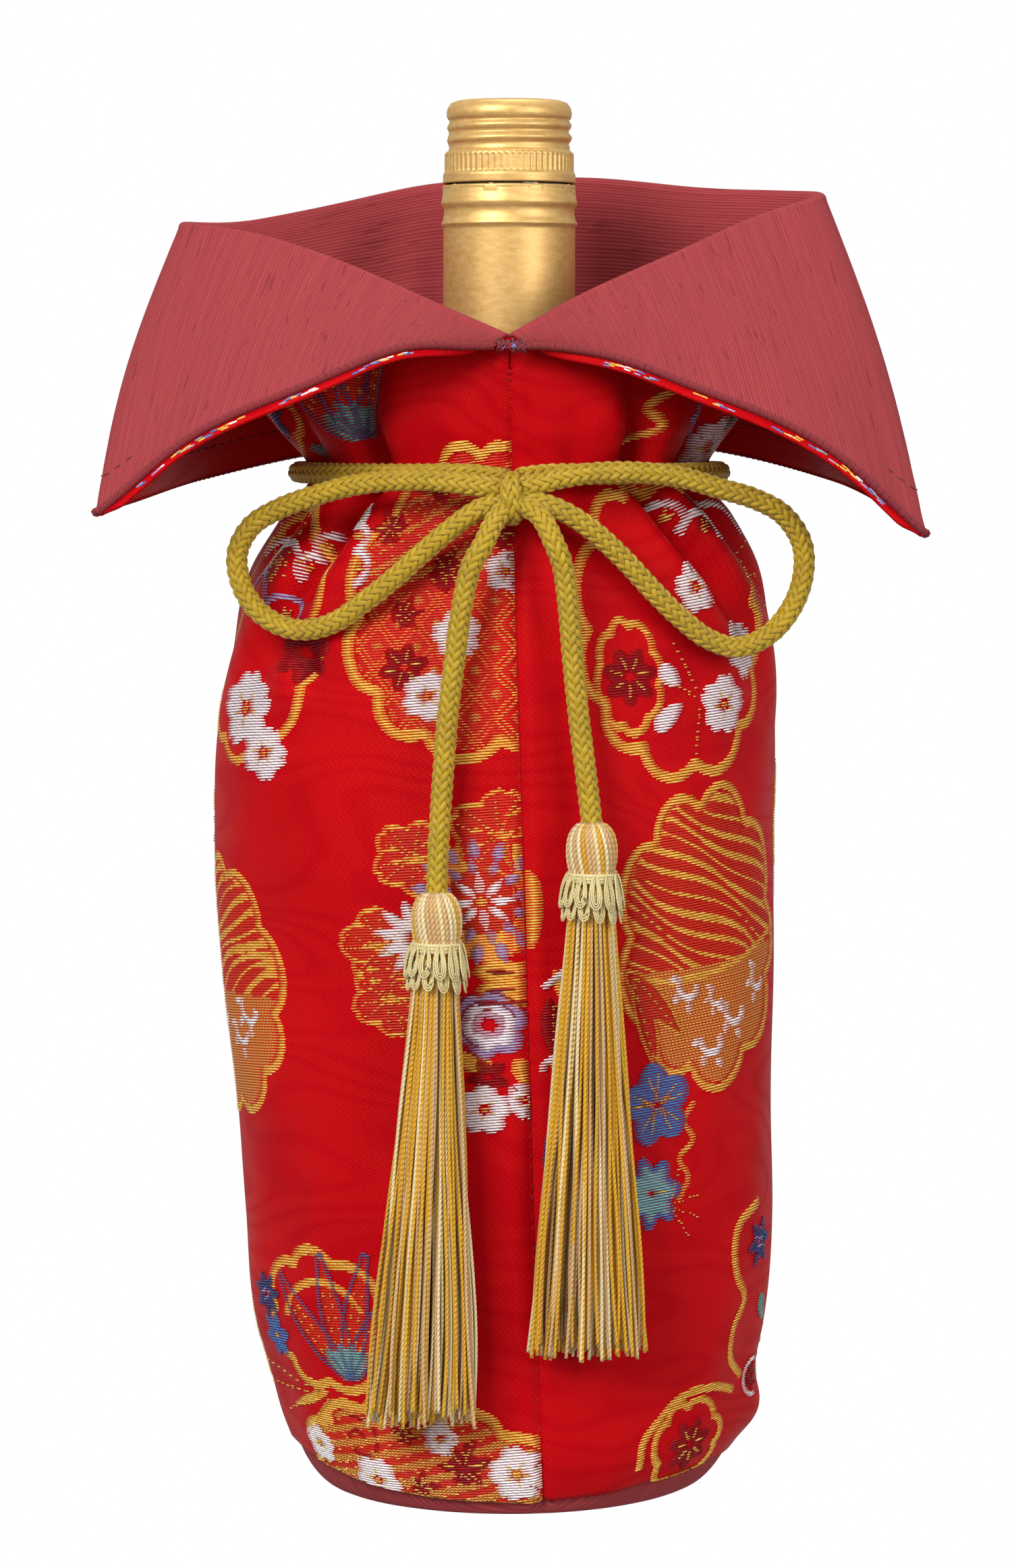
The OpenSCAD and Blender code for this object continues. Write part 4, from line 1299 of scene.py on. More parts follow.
def lobed(centre, rx, ry, lobes, depth=0.1, turn=0.0):
    """A closed cloud-like outline with rounded lobes and sharp notches."""
    a = np.linspace(0, TAU, 150, endpoint=False)
    wave = np.abs(np.sin(lobes * (a + turn) / 2 + 0.35 * np.sin(3 * a + turn))) ** 0.6
    r = 1 - depth + depth * wave * 1.4
    return arr(centre) + np.stack([rx * r * np.cos(a), ry * r * np.sin(a)], 1)


def band(line, width, closed=True):
    """Overlapping outlines that cover a line with a band of that width."""
    line = arr(line)
    if closed:
        line = np.concatenate([line, line[:1]])
    shapes = []
    for a, b in zip(line, line[1:]):
        d = b - a
        long = np.linalg.norm(d)
        if long < 1e-6:
            continue
        w = width / 2
        d, n = d / long, arr([-d[1], d[0]]) / long
        tip, side, cut = d * w * 0.5, n * w, n * w * 0.7
        shapes.append(arr([a - tip - cut, a - side, b - side, b + tip - cut,
                           b + tip + cut, b + side, a + side, a - tip + cut]))
    return shapes


def curve(*points):
    """A smooth open line through points on the cloth."""
    return resample(points, 1.1)[0]


def petal(centre, angle, inner, outer, width, tip=0.5, notch=0.0):
    """A petal pointing away from the centre; tip below 1 makes it blunt, notch cuts its end."""
    t = np.linspace(0, 1, 11)
    half = width / 2 * np.sin(math.pi * t ** 0.8) ** tip
    half[-1] = 0.12 * width
    reach = inner + (outer - inner) * t
    along = np.concatenate([reach, [outer * (1 - notch)], reach[::-1]])
    across = np.concatenate([half, [0], -half[::-1]])
    c, s = math.cos(angle), math.sin(angle)
    return arr(centre) + np.stack([along * c - across * s, along * s + across * c], 1)


def leaf(a, b, width, tip=0.8):
    """A pointed leaf from a to b."""
    a, b = arr(a), arr(b)
    d = b - a
    return petal(a, math.atan2(d[1], d[0]), 0, float(np.linalg.norm(d)), width, tip)


def ray(centre, inner, outer, angle, width=0.6):
    """A thin leaf that points away from the centre, between two radii."""
    return leaf(polar(centre, inner, angle), polar(centre, outer, angle), width)


def ring_of(centre, count, inner, outer, width, turn=0.0, tip=0.5, notch=0.0):
    return [petal(centre, turn + TAU * k / count, inner, outer, width, tip, notch) for k in range(count)]


def blossom(w, centre, r, turn):
    """Five notched white petals with threads of gold at the middle."""
    w.weave("white", ring_of(centre, 5, r * 0.16, r, r * 0.92, turn, 0.42, 0.16))
    w.weave("dark", [ray(centre, r * 0.5, r * 0.86, turn + TAU * k / 5, 0.5) for k in range(5)], lift=0.2)
    w.weave("fine_gold", [disc(centre, r * 0.13, 7)])
    w.weave("fine_gold", ring_of(centre, 5, r * 0.2, r * 0.5, r * 0.12, turn + math.pi / 5, 0.7), lift=0.02)


def chrysanthemum(w, centre, r, turn=0.0, outer="lavender", petals=15):
    """Two rings of slim petals on gold, round a star of pale ones."""
    ring = disc(centre, r * 0.93, 29)
    w.weave("gold", [ring], lift=-0.1)
    w.weave("orange", [disc(centre, r * 0.52, 23)], lift=0.12)
    w.weave(outer, ring_of(centre, petals, r * 0.66, r, r * 0.19, turn, 0.7))
    w.weave(outer, ring_of(centre, petals - 3, r * 0.42, r * 0.68, r * 0.15, turn + 0.2, 0.7), lift=0.05)
    w.weave("white", ring_of(centre, 8, r * 0.1, r * 0.46, r * 0.14, turn + 0.1, 0.7), lift=0.06)
    w.weave("fine_gold", [disc(centre, r * 0.08, 7)])


def maple(w, centre, r, turn):
    """A maple leaf of six unequal points with veins."""
    reach = (1.0, 0.92, 0.7, 0.45, 0.7, 0.92)
    angles = [turn + k * TAU / 6.6 for k in (0, 1, 2, 3.3, -2, -1)]
    w.weave("dark", [petal(centre, a, 0, r * long, r * 0.36, 0.8) for a, long in zip(angles, reach)])
    w.weave("fine_gold", [ray(centre, r * 0.1, r * long * 0.72, a, 0.55) for a, long in zip(angles, reach)])


def medallion(w, centre, rx, ry, lobes, turn=0.0, width=2.5, depth=0.1):
    """A lobed gold outline. Returns the runs inside it, to clip a fill."""
    outline = lobed(centre, rx, ry, lobes, depth, turn)
    w.weave("gold", band(outline, width))
    return row_runs([lobed(centre, rx - width * 0.6, ry - width * 0.6, lobes, depth, turn)])


def hatch(centre, rx, ry, angle, pitch, width):
    """Parallel bands across an area."""
    shapes, reach = [], math.hypot(rx, ry)
    d, n = arr([math.cos(angle), math.sin(angle)]), arr([-math.sin(angle), math.cos(angle)])
    for k in range(-int(reach / pitch), int(reach / pitch) + 1):
        middle = arr(centre) + n * k * pitch
        shapes += band([middle - d * reach, middle + d * reach], width, False)
    return shapes


def lattice(w, centre, rx, ry, clip, cell=6.2):
    """Diamonds of double gold lines, each with a dotted heart."""
    for angle in (0.88, -0.88):
        for shift in (-0.55, 0.55):
            n = arr([-math.sin(angle), math.cos(angle)]) * shift
            w.weave("gold", hatch(arr(centre) + n, rx, ry, angle, cell, 0.6), clip)
    d, n = arr([math.cos(0.88), math.sin(0.88)]), arr([math.cos(-0.88), math.sin(-0.88)])
    step = cell / math.sin(2 * 0.88)
    hearts = []
    for i in range(-7, 8):
        for j in range(-7, 8):
            p = arr(centre) + (i + 0.5) * step * d + (j + 0.5) * step * n
            hearts.append(p + arr([[1.6, 0], [0, 2.0], [-1.6, 0], [0, -2.0]]))
    w.weave("dots", hearts, clip, 0.04)


def waves(w, centre, rx, ry, clip, turn, pitch=2.8, width=2.5):
    """Bent bands that sweep over an area, like combed water."""
    t = np.linspace(-1, 1, 26)
    c, s = math.cos(turn), math.sin(turn)
    reach = math.hypot(rx, ry)
    for k in range(-int(reach / pitch), int(reach / pitch) + 1):
        x = t * reach
        y = k * pitch + 4.6 * np.sin(t * 2.6 + 0.12 * k) + 1.2 * np.sin(t * 7 + k)
        line = arr(centre) + np.stack([x * c - y * s, x * s + y * c], 1)
        w.weave("gold", band(line, width * (0.75 + 0.25 * math.sin(2.2 * k)), False), clip)


def bamboo(w, base, leaves, width=6.2):
    """A fan of pointed leaves: red inside, edged in blue, gold dashes along the middle, teal at the foot."""
    for tip in leaves:
        tip = arr(tip)
        outline = leaf(base, tip, width, 0.75)
        w.weave("orange", [outline])
        w.weave("slate", band(outline, 0.8), lift=-0.06)
        along = tip - arr(base)
        side = unit(arr([-along[1], along[0]]))
        for off in (-0.9, 0.9):
            w.weave("fine_gold", [leaf(arr(base) + along * f + side * off,
                                       arr(base) + along * (f + 0.05) + side * off, 0.6)
                                  for f in np.arange(0.3, 0.74, 0.09)])
    foot = [leaf(base, arr(base) + unit(arr(tip) - arr(base)) * 8.5, width * 0.8, 0.5) for tip in leaves]
    w.weave("teal", foot)
    w.weave("slate", [leaf(base, arr(base) + unit(arr(tip) - arr(base)) * 7.5, 0.8) for tip in leaves])


def specks(w, centre, rx, ry, clip, gap=2.5):
    """Short gold dashes that rise and fall in turn, scattered over an area."""
    made = []
    for i in range(-int(rx / gap), int(rx / gap) + 1):
        for j in range(-int(ry / gap), int(ry / gap) + 1):
            p = arr(centre) + [(i + 0.5 * (j % 2)) * gap, j * gap * 0.9]
            way = 0.9 if (i + j) % 2 else -0.9
            made.append(leaf(p, p + [1.5, way], 0.7))
    w.weave("fine_gold", made, clip, -0.12)


def crest(w, place, size, turn):
    """A white wave crest: a curl with small fingers."""
    t = np.linspace(0, 3.6, 9)
    curl = polar(place, size * (1.2 - 0.18 * t), turn + t)
    w.weave("white", band(curl, size * 0.55, False))
    w.weave("white", [petal(polar(place, size * 1.2, a), a + 0.5, 0, size * 0.8, size * 0.6, 0.5)
                      for a in (turn + 0.1, turn + 1.0, turn + 1.9)])


def scallops(w, line, size, colour="white", width=1.5):
    """A run of small arches along a line."""
    line = arr(line)
    for a, b in zip(line, line[1:]):
        middle, d = (a + b) / 2, b - a
        facing = math.atan2(d[1], d[0]) + math.pi / 2
        arc = polar(middle, np.linalg.norm(d) * 0.52, facing + np.linspace(-1.5, 1.5, 9))
        w.weave(colour, band(arc, width, False))
        w.weave("fine_gold", [ray(middle, size * f, size * f + 1.6, facing + o)
                              for f, o in ((0.1, 0), (0.1, 0.5), (0.1, -0.5), (0.45, 0.25), (0.45, -0.25))])


def scroll(w, centre, size):
    """A spiral line."""
    t = np.linspace(0.4, 8.2, 30)
    w.weave("dark", band(polar(centre, size * (0.2 + 0.1 * t), t), size * 0.2, False))


def dashes(w, base, tips, colour="fine_gold", gap=0.13):
    """Broken rays from a foot to each tip."""
    for tip in tips:
        along = arr(tip) - arr(base)
        w.weave(colour, [leaf(arr(base) + along * f, arr(base) + along * (f + gap * 0.55), 0.75)
                         for f in np.arange(0.15, 1.0, gap)])


def weave_upper(w):
    """The motifs round the neck and the shoulders of the bag's front."""
    # the great medallion left of the seam: maples above, lattice below
    w.only = "left"
    c = spot(-7, 195)
    inside = medallion(w, c, 27, 32, 11, 0.2)
    w.weave("orange", [lobed(c, 26, 31, 11, 0.1, 0.2)], inside, -0.06)
    low = overlap(inside, row_runs([c + arr([[-40, 2], [40, 2], [40, -45], [-40, -45]])]))
    high = overlap(inside, row_runs([c + arr([[-40, 3], [40, 3], [40, 45], [-40, 45]])]))
    lattice(w, c, 28, 24, low)
    specks(w, c, 27, 32, high)
    w.weave("dots", hatch(c + [0, 18], 28, 20, 0.5, 5.2, 1.8), high)
    for x, z, r, turn in ((-13, 201, 6.4, 0.4), (-14, 219, 6.0, 1.5), (-24, 209, 5.4, 2.2),
                          (-2, 209, 5.5, 0.9), (-22, 192, 4.6, 0.2)):
        w.weave("dark", [disc(spot(x, z), r * 0.62, 13)], lift=-0.06)
        maple(w, spot(x, z), r, turn)
    w.weave("dark", ring_of(spot(-22, 181), 6, 0.6, 5.2, 3.4, 0.3, 0.5))
    w.weave("fine_gold", ring_of(spot(-22, 181), 6, 1.2, 4.2, 0.6, 0.3))
    for x, z, r, turn in ((-11, 188, 5.4, 0.5), (-17, 175, 5.6, 1.2), (-1, 201, 4.6, 0.2)):
        blossom(w, spot(x, z), r, turn)
    scallops(w, [spot(-30, 214), spot(-31, 209), spot(-31, 204), spot(-32, 198)], 2.4, width=2.0)
    w.only = None
    # the side medallion on the left: white arches, dark petals, flowers below
    c = spot(-53, 187)
    outline = lobed(c, 19, 26, 9, 0.1, 0.5)
    w.weave("gold", band(outline[90:] if outline[0][0] > 0 else outline, 2.2, False))
    scallops(w, [spot(-55, 203), spot(-50, 200), spot(-44, 199), spot(-40, 203), spot(-36, 208)], 3.4)
    scallops(w, [spot(-57, 195), spot(-51, 191), spot(-45, 190)], 3.2, "lavender", 1.4)
    w.weave("dark", ring_of(spot(-43, 184), 7, 1, 7.5, 4.6, 0.2, 0.5))
    dashes(w, spot(-47, 196), [spot(-56, 206), spot(-51, 210), spot(-45, 212), spot(-40, 212)])
    blossom(w, spot(-55, 171), 8.4, 0.4)
    blossom(w, spot(-51.5, 162), 6.2, 1.1)
    # the right medallion, open at the top
    c = spot(36, 189)
    inside = medallion(w, c, 25, 31, 11, 0.9)
    sub = spot(25, 179)
    w.weave("gold", band(lobed(sub, 7.4, 11.5, 8, 0.12, 0.2), 1.9))
    w.weave("dark", ring_of(sub, 7, 0.8, 6.4, 3.9, 0.2, 0.5))
    w.weave("fine_gold", ring_of(sub, 7, 1.5, 4.6, 0.7, 0.2))
    for x, z, r, turn in ((38, 197, 5.6, 0.5), (49, 184, 6.6, 0.9), (45, 172.5, 6.8, 0.2)):
        blossom(w, spot(x, z), r, turn)
    w.weave("white", [leaf(spot(31, 181), spot(35.5, 177), 4.6, 0.5),
                      leaf(spot(30, 167.5), spot(36, 173), 4.4, 0.6)])
    dashes(w, spot(40, 174), [spot(34, 186), spot(32, 178), spot(39, 162)])
    scallops(w, [spot(31, 214), spot(36, 209), spot(42, 206), spot(48, 207)], 3.2, "white", 1.6)
    w.weave("dark", ring_of(spot(40, 212), 6, 1, 7, 4.4, 0.5, 0.5))
    dashes(w, spot(46, 200), [spot(54, 192), spot(56, 199), spot(54, 206)])


def weave_neck(w):
    """What shows between the cord and the collar, and on the collar's underside near the slit."""
    fan = [spot(-36, 260) + [0, 2], spot(-29, 262), spot(-22, 256), spot(-42, 252)]
    bamboo(w, spot(-30, 229), fan, 5.4)
    w.weave("gold", band(lobed(spot(-48, 238), 9, 11, 7, 0.12), 1.8))
    w.weave("navy", ring_of(spot(-48, 236), 7, 0.6, 6.2, 3.4, 0.1, 0.5))
    w.weave("lavender", ring_of(spot(-48, 236), 7, 0.6, 3.4, 1.2, 0.5, 0.5), lift=0.12)
    w.weave("teal", [leaf(spot(-41, 227.5), spot(-37, 223.5), 3.6, 0.5)])
    line = curve(spot(35, 246), spot(30, 240), spot(27, 236), spot(29, 232), spot(26, 228), spot(25, 223))
    w.weave("gold", band(line, 2.0, False))
    blossom(w, spot(40, 228), 7.2, 0.2)
    w.weave("lavender", ring_of(spot(35, 234), 6, 0.5, 4.2, 2.2, 0.1, 0.5))
    w.weave("teal", [leaf(spot(44, 236), spot(41, 232), 3.2, 0.5)])


def weave_middle(w):
    """The bouquet beside the seam and the two great wave medallions."""
    w.only = "left"
    for x, z, r, turn in ((-2, 146, 9.5, 1.4), (-20, 141, 8.0, 2.4), (-27, 122, 8.2, 3.0),
                          (-25, 111, 7.8, 3.6)):
        petals = ring_of(spot(x, z), 5, 0.5, r, r * 0.95, turn, 0.45, 0.1)
        w.weave("orange", petals)
        for shape in petals:
            w.weave("gold", band(shape, 1.1), lift=-0.02)
        dashes(w, spot(x, z), [polar(spot(x, z), r * 0.85, turn + TAU * k / 5 + o) for k in range(5)
                               for o in (-0.22, 0.22)])
    w.weave("gold", [leaf(spot(0, 144), spot(6.5, 134), 5.5, 0.5)])
    chrysanthemum(w, spot(-5.5, 132), 13.5)
    w.weave("white", ring_of(spot(-19, 124), 11, 1.4, 8.6, 2.7, 0.15, 0.5))
    w.weave("fine_gold", [disc(spot(-19, 124), 1.4, 8)])
    for k, (x, z) in enumerate(((-8, 117), (-7, 113), (-9, 110))):
        w.weave("gold", [leaf(spot(x, z), spot(5, 118 - 3.4 * k), 4.2, 0.5)])
        w.weave("dark", [leaf(spot(x + 2, z), spot(3, 117.6 - 3.3 * k), 0.7)], lift=0.3)
    for r, colour in ((7.6, "lavender"), (5.6, "white"), (3.6, "pink")):
        w.weave(colour, ring_of(spot(-4, 106), 6, r * 0.35, r, r * 0.8, r, 0.45), lift=(7.6 - r) * 0.05)
        w.weave("dark", band(polar(spot(-4, 106), r * 0.93, np.linspace(0.3, 4.4, 14)), 0.5, False), lift=0.3)
    w.weave("gold", [leaf(spot(-12, 99), spot(-1, 96), 4.5), leaf(spot(1, 99), spot(6, 91), 4.5)])
    w.weave("dark", ring_of(spot(-4, 95), 5, 0.5, 4.2, 2.8, 0.8, 0.5), lift=0.1)
    blossom(w, spot(-5, 88), 5.8, 0.2)
    blossom(w, spot(3, 90), 4.2, 0.9)
    w.only = "right"
    w.weave("gold", [leaf(spot(4.0, 139), spot(4.6, 122), 5.6, 0.5)])
    w.weave("gold", [leaf(spot(9, 118), spot(13, 108), 3.2)])
    w.weave("white", band([spot(7, 114), spot(11, 117), spot(15, 113), spot(12, 109)], 1.6, False))
    w.weave("dark", [leaf(spot(8, 112), spot(9, 98), 4.6), leaf(spot(13, 110), spot(12, 100), 4.0)])
    dashes(w, spot(9, 112), [spot(9, 99), spot(12, 100)])
    scallops(w, [spot(7, 96), spot(11, 97), spot(15, 96)], 2.0, "white", 1.5)
    w.weave("navy", [leaf(spot(8, 84), spot(8.4, 66), 2.8, 0.5)])
    dashes(w, spot(8.2, 86), [spot(8.4, 62)], "fine_gold", 0.08)
    w.only = None
    c = spot(43, 123)
    inside = medallion(w, c, 24, 31, 9, 0.4, 2.0, 0.13)
    top = row_runs([c + arr([[-40, -8], [0, -6], [40, 0], [40, 45], [-40, 45]])])
    w.weave("dots", [lobed(c, 23, 30, 9, 0.13, 0.4)], inside)
    w.weave("orange", [c + arr([[-40, -8], [0, -6], [40, 0], [40, 45], [-40, 45]])], inside)
    waves(w, c, 24, 31, overlap(inside, top), -0.62)
    w.weave("gold", band([c + [-24, -8], c + [-10, -9], c + [4, -7], c + [24, 0]], 1.6, False), inside)
    for x, z, size, turn in ((38, 113, 3.1, 2.6), (44, 110, 2.2, 2.2), (48, 107, 3.3, 2.8),
                             (43, 101, 3.3, 3.0), (53, 113, 3.0, 2.2)):
        crest(w, spot(x, z), size, turn)
    petals = [leaf(spot(24, 117), spot(36, 103), 5.4), leaf(spot(26, 116), spot(31, 95), 4.4)]
    w.weave("orange", petals, lift=0.12)
    for shape in petals:
        w.weave("gold", band(shape, 0.9), lift=0.14)
    dashes(w, spot(25, 117), [spot(34, 105), spot(30, 98)])
    c = spot(-61, 110)
    inside = medallion(w, c, 22, 27, 9, 1.5, 2.0, 0.12)
    top = row_runs([c + arr([[-40, -1], [40, -1], [40, 45], [-40, 45]])])
    w.weave("dots", [lobed(c, 21, 26, 9, 0.12, 1.5)], inside)
    w.weave("orange", [c + arr([[-40, -1], [40, -1], [40, 45], [-40, 45]])], inside)
    waves(w, c, 22, 27, overlap(inside, top), 0.25)
    for dx, dz, size in ((12, -4, 3.2), (8, -9, 3.0), (-2, -6, 3.0), (-9, -12, 3.0)):
        crest(w, c + [dx, dz], size, 2.6)
    # blue and pale blue flowers on a wandering gold line
    c = spot(31, 88)
    petals = ring_of(c, 5, 0.6, 9.2, 8.2, 0.5, 0.38)
    w.weave("blue", petals)
    w.weave("dots", ring_of(c, 5, 0.6, 4.2, 1.5, 0.5, 0.5), lift=0.34)
    w.weave("fine_gold", [ray(c, 3.0, 7.2, 0.5 + TAU * k / 5 + o) for k in range(5) for o in (-0.2, 0.2)])
    line = curve(spot(39, 88), spot(37, 84), spot(39, 80), spot(36, 76), spot(38, 72), spot(36, 67))
    w.weave("gold", band(line, 1.3, False))
    dashes(w, spot(34, 66), [spot(40, 68), spot(40, 63), spot(38, 59), spot(36, 74)])
    c = spot(30, 69)
    w.weave("blue", ring_of(c, 7, 0.5, 8.2, 5.2, 0.1, 0.45))
    w.weave("light_blue", ring_of(c, 7, 0.5, 6.4, 4.2, 0.1, 0.45), lift=0.14)
    w.weave("fine_gold", ring_of(c, 7, 1.2, 4.6, 0.6, 0.1))


def weave_lower(w):
    """The bamboo, the seam-side medallion and the scattered pieces round the foot."""
    w.weave("gold", band(lobed(spot(-40, 40), 16, 15, 7, 0.14, 0.6), 2.4))
    w.weave("gold", band(polar(spot(-39, 38), 11, np.linspace(0.5, 2.9, 14)), 2.0, False))
    bamboo(w, spot(-33, 28), [spot(-49, 49), spot(-40, 55), spot(-30, 56), spot(-22, 50)], 5.6)
    dashes(w, spot(-37, 24), [spot(-52, 26), spot(-51, 20), spot(-47, 15), spot(-42, 12)], "fine_gold", 0.12)
    w.weave("gold", [leaf(spot(-38, 24), spot(-46, 17), 2.6), leaf(spot(-37, 22), spot(-41, 14), 2.4)])
    w.weave("blue", ring_of(spot(-50, 35), 6, 0.5, 5.4, 3.4, 0.2, 0.5))
    w.weave("navy", ring_of(spot(-52, 44), 7, 0.5, 5.2, 2.6, 0.1, 0.5))
    w.weave("lavender", ring_of(spot(-52, 44), 7, 0.5, 3.0, 1.2, 0.4, 0.5), lift=0.12)
    c = spot(-18, 7)
    w.only = "left"
    inside = medallion(w, c, 30, 17, 11, 0.3, 2.6, 0.13)
    w.weave("orange", [lobed(c, 29, 16, 11, 0.13, 0.3)], inside, -0.04)
    w.weave("dots", hatch(c, 30, 17, 0.3, 3.4, 1.9), inside, 0.06)
    specks(w, c, 30, 17, inside, 2.8)
    scroll(w, spot(-31, 14), 5.4)
    for x, z, r, turn in ((-9, 11, 8.4, 1.2), (-18, 5, 5.4, 0.3), (-22, 17, 4.6, 0.9)):
        w.weave("dark", [disc(spot(x, z), r * 0.5, 11)], lift=-0.05)
        maple(w, spot(x, z), r, turn)
    for x, z, r, turn in ((-40, 9.5, 5.0, 0.3), (-27, 5.2, 6.0, 1.0), (2, 10, 6.6, 0.5), (-14, 17, 4.2, 0.1)):
        blossom(w, spot(x, z), r, turn)
    w.only = None
    line = curve(spot(53, 64), spot(49, 60), spot(48, 54), spot(48.5, 49), spot(50.5, 43),
                 spot(48, 37), spot(47.5, 30), spot(50, 24))
    w.weave("gold", band(line, 2.2, False))
    w.weave("navy", ring_of(spot(53.5, 55), 6, 0.5, 5.6, 2.6, 0.2, 0.5))
    w.weave("lavender", ring_of(spot(53.5, 55), 6, 0.5, 3.4, 1.4, 0.6, 0.5), lift=0.12)
    w.weave("teal", [leaf(spot(54, 43), spot(54.5, 37), 3.6, 0.5)])
    w.weave("white", band(polar(spot(52, 22), 5, np.linspace(1.4, 4.8, 12)), 1.2, False))
    w.weave("dark", ring_of(spot(52, 22), 7, 0.6, 4.2, 1.9, 0.2, 0.5))
    c = spot(38, 11)
    w.weave("gold", band(lobed(c, 10.5, 10.5, 7, 0.14, 0.2), 2.0))
    line = curve(spot(27, 8), spot(28, 14), spot(32, 19), spot(36, 23), spot(43, 24), spot(48, 21))
    w.weave("gold", band(line, 2.2, False))
    w.weave("dark", ring_of(c, 7, 0.6, 6.6, 3.6, 0.3, 0.5))
    w.weave("fine_gold", ring_of(c, 7, 1.2, 4.4, 0.7, 0.3))


def weave_round(w):
    """The same kinds of motif carried on round the sides and the back, in a half-drop repeat."""
    for row in range(4):
        for k in range(3):
            for way in (-1, 1):
                s = way * (92 + 31 * k + (15 if row % 2 else 0))
                h = 30 + 54 * row + 5 * math.sin(3 * k + row)
                if abs(s) > HALF_ROUND - 8:
                    s = way * (HALF_ROUND - 2)
                kind = (row * 3 + k + (way > 0) * 2) % 4
                c = arr([s, h])
                if kind == 0:
                    inside = medallion(w, c, 14, 19, 9, 0.3 * k, 2.0, 0.12)
                    waves(w, c, 14, 19, inside, 0.5 * way, 3.0, 1.7)
                    crest(w, c + [2, -6], 3.0, 2.4)
                elif kind == 1:
                    inside = medallion(w, c, 14, 18, 9, 1.0 + k, 2.0, 0.12)
                    lattice(w, c, 14, 18, inside)
                    blossom(w, c + [0, 6], 5.6, 0.4 * k)
                    blossom(w, c + [-3, -7], 4.8, 0.2)
                elif kind == 2:
                    chrysanthemum(w, c, 11.5, 0.3, "lavender" if way > 0 else "light_blue")
                    for a in (0.6, 2.2, 3.9, 5.4):
                        tip = polar(c, 16.5, a)
                        w.weave("gold", [leaf(polar(c, 10.5, a), tip, 4.6, 0.6)])
                else:
                    bamboo(w, c - [0, 11], [c + [-9, 6], c + [0, 12], c + [9, 6]], 7.0)
                    w.weave("gold", band(lobed(c, 14, 17, 7, 0.14, k), 1.8))


def weave_motifs():
    """All the woven motifs, in the order that their random draws need."""
    w = Weaver()
    weave_upper(w)
    weave_neck(w)
    weave_middle(w)
    weave_lower(w)
    weave_round(w)
    w.build()


# ------------------------------------------------------------------ start
BROCADE = brocade_ground()
LINING = lining_cloth()
CORD_MATERIAL = cord_strand()
YARN_COLOURS = {
    "gold": spun("gold yarn", rgb("F0B814"), rgb("D4960A"), 1.15),
    "cream": spun("cream yarn", rgb("F8E6B8"), rgb("EACF90"), 1.15),
    "tan": spun("tan yarn", rgb("E4BC82"), rgb("D2A468"), 1.15)}
GIMP = spun("gimp", rgb("FAEDB8"), rgb("E6D08A"), 0.7, 0.6, 0.36)
# the hem is the lining cloth painted darker: painted shade on the rolled edge
HEM = lining_cloth("hem cloth with painted shade", 0.62)
MAROON_THREAD = sewing_thread("maroon thread", rgb("843038"), rgb("541A20"))
RED_THREAD = sewing_thread("red thread", rgb("A60D18"), rgb("6E0610"))
MOTIF_THREADS = {
    "gold": float_thread("gold thread", rgb("FFDA6A"), rgb("E0A22C"), 0.15, 0.36),
    "fine_gold": float_thread("fine gold thread", rgb("FFE07A"), rgb("E4AA34"), 0.15, 0.36),
    "dots": dotted_gold(),
    "orange": float_thread("orange red thread", rgb("DC3A20"), rgb("C42A16")),
    "dark": float_thread("dark red thread", rgb("A50B1A"), rgb("820612")),
    "white": float_thread("white thread", rgb("FFFAFA"), rgb("F0E4E8")),
    "lavender": float_thread("lavender thread", rgb("BFB0D6"), rgb("9A8ABA")),
    "pink": float_thread("pink thread", rgb("E2BFD0"), rgb("C796B0")),
    "blue": float_thread("blue thread", rgb("5387C8"), rgb("3E66A6")),
    "light_blue": float_thread("pale blue thread", rgb("9CCFD2"), rgb("78AEB6")),
    "teal": float_thread("teal thread", rgb("8CC0B8"), rgb("649A98")),
    "navy": float_thread("navy thread", rgb("465A96"), rgb("2C3A66")),
    "slate": float_thread("slate blue thread", rgb("5C78B4"), rgb("42588C"))}
CAD_LOOKS = {
    "bottle": bottle_glass(),
    "wine": speckled("wine", rgb("3A0510"), rgb("4A0816"), 0.1, 40),
    "base_board": speckled("grey board", rgb("8C857A"), rgb("A49C8E"), 0.9, 900),
    "lining_floor": speckled("lining floor", rgb("7E2A32"), rgb("9A3A40"), 0.9, 1500),
    "cap_liner": speckled("cap liner", rgb("E8E6E0"), rgb("D8D6D0"), 0.6, 500)}
for node, material in CAD_LOOKS.items():
    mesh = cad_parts[node].data
    mesh.materials.clear()
    mesh.materials.append(material)

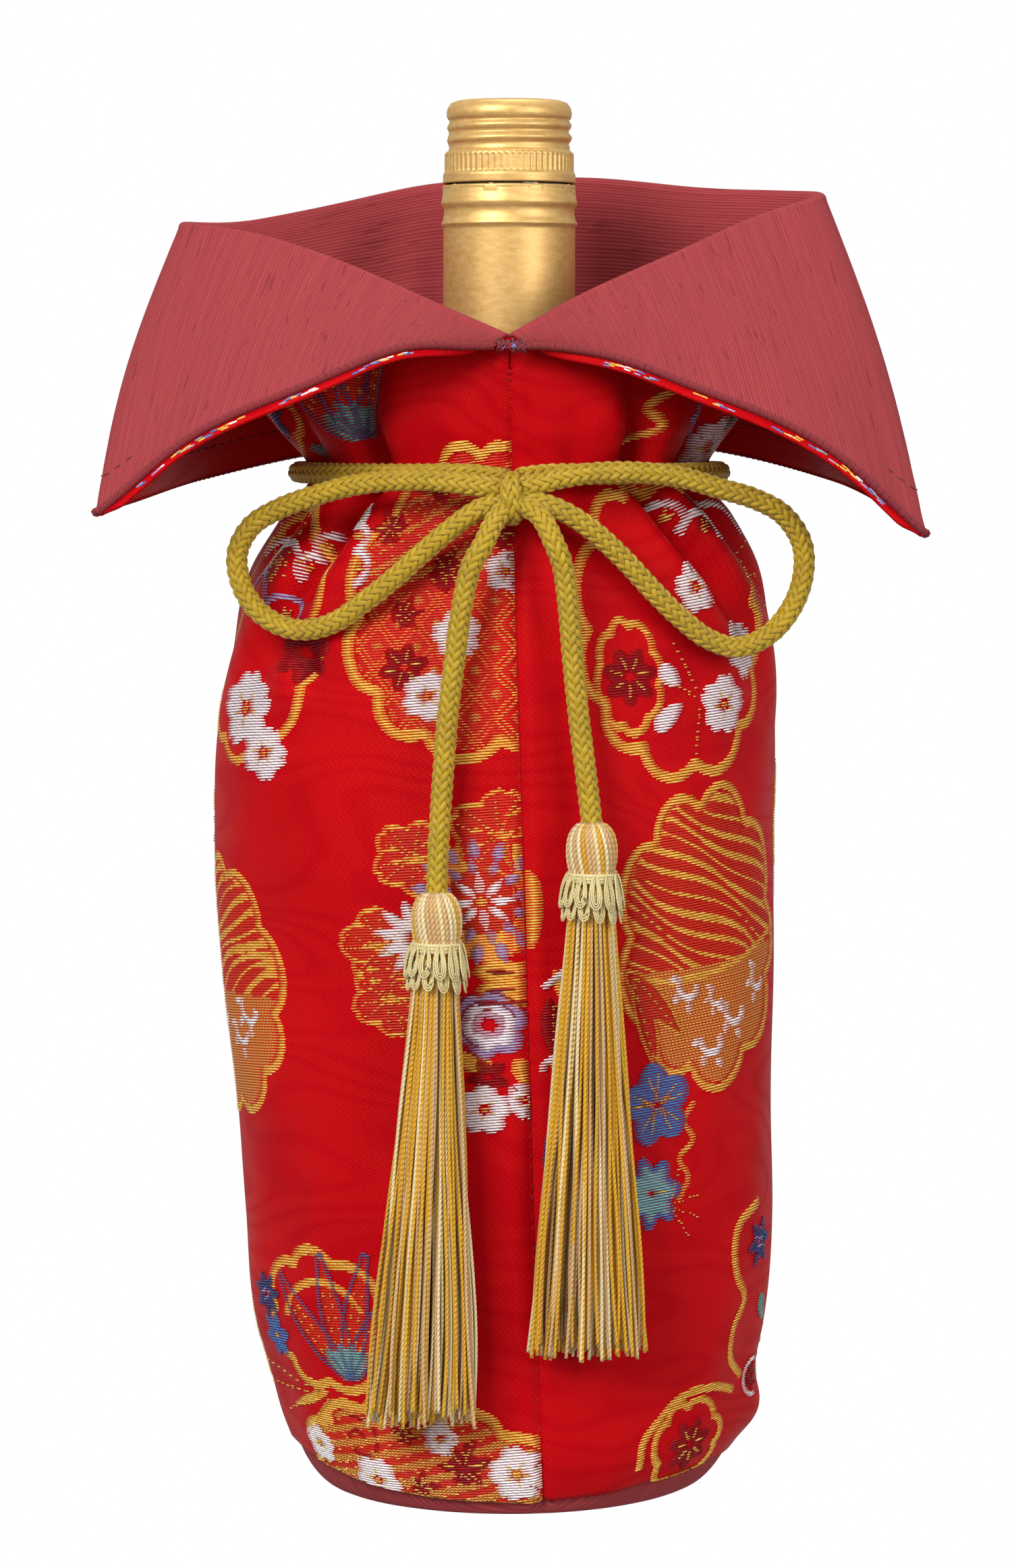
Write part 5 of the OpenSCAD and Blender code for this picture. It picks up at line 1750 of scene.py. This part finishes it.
make_neck_cord()
for hand in ("left", "right"):
    make_loop(hand)
    heads = make_tassel(hand, RNG)
    make_tail(hand)
    brocade_panel(hand)
    lining_sheet(hand)
    rolled_hem(hand)
make_knot()
make_seams()
make_tack()
make_piping_scraps()
make_base()
make_cap()
weave_motifs()


LENS, SENSOR = 110.5, 36
CAMERA_AT, CAMERA_TILT = (-0.0007, -1.05, 0.236), 85.5
AIM = (0, 0, 0.17)
WORLD_SEEN, WORLD_LIGHT = 1.0, 0.4               # strength to the camera, and on the object
# Name, place in metres, size in metres and power in watts
LAMPS = (("key", (-0.75, -1.2, 0.95), 0.7, 21), ("side", (1.0, -1.1, 0.55), 0.8, 9),
         ("top", (0.1, 0.2, 1.5), 0.9, 8))


def set_studio():
    """Camera at the picture's angle, soft light from large lamps, and white all round behind."""
    camera = bpy.data.objects.new("camera", bpy.data.cameras.new("camera"))
    camera.data.lens, camera.data.sensor_width = LENS, SENSOR
    camera.location = CAMERA_AT
    camera.rotation_euler = (math.radians(CAMERA_TILT), 0, 0)
    bpy.context.collection.objects.link(camera)
    bpy.context.scene.camera = camera
    bpy.context.scene.view_settings.view_transform = "Standard"
    world = bpy.data.worlds.new("studio")
    world.use_nodes = True
    background = world.node_tree.nodes["Background"]
    background.inputs["Color"].default_value = (1, 1, 1, 1)
    seen = world.node_tree.nodes.new("ShaderNodeLightPath").outputs["Is Camera Ray"]
    strength = world.node_tree.nodes.new("ShaderNodeMath")
    strength.operation = "MULTIPLY_ADD"
    strength.inputs[1].default_value = WORLD_SEEN - WORLD_LIGHT
    strength.inputs[2].default_value = WORLD_LIGHT
    world.node_tree.links.new(seen, strength.inputs[0])
    world.node_tree.links.new(strength.outputs[0], background.inputs["Strength"])
    bpy.context.scene.world = world
    for name, place, size, power in LAMPS:
        lamp = bpy.data.lights.new(name, "AREA")
        lamp.energy, lamp.size = power, size
        light = bpy.data.objects.new(name, lamp)
        light.location = place
        aim = Vector(AIM) - light.location
        light.rotation_euler = aim.to_track_quat("-Z", "Y").to_euler()
        bpy.context.collection.objects.link(light)


set_studio()
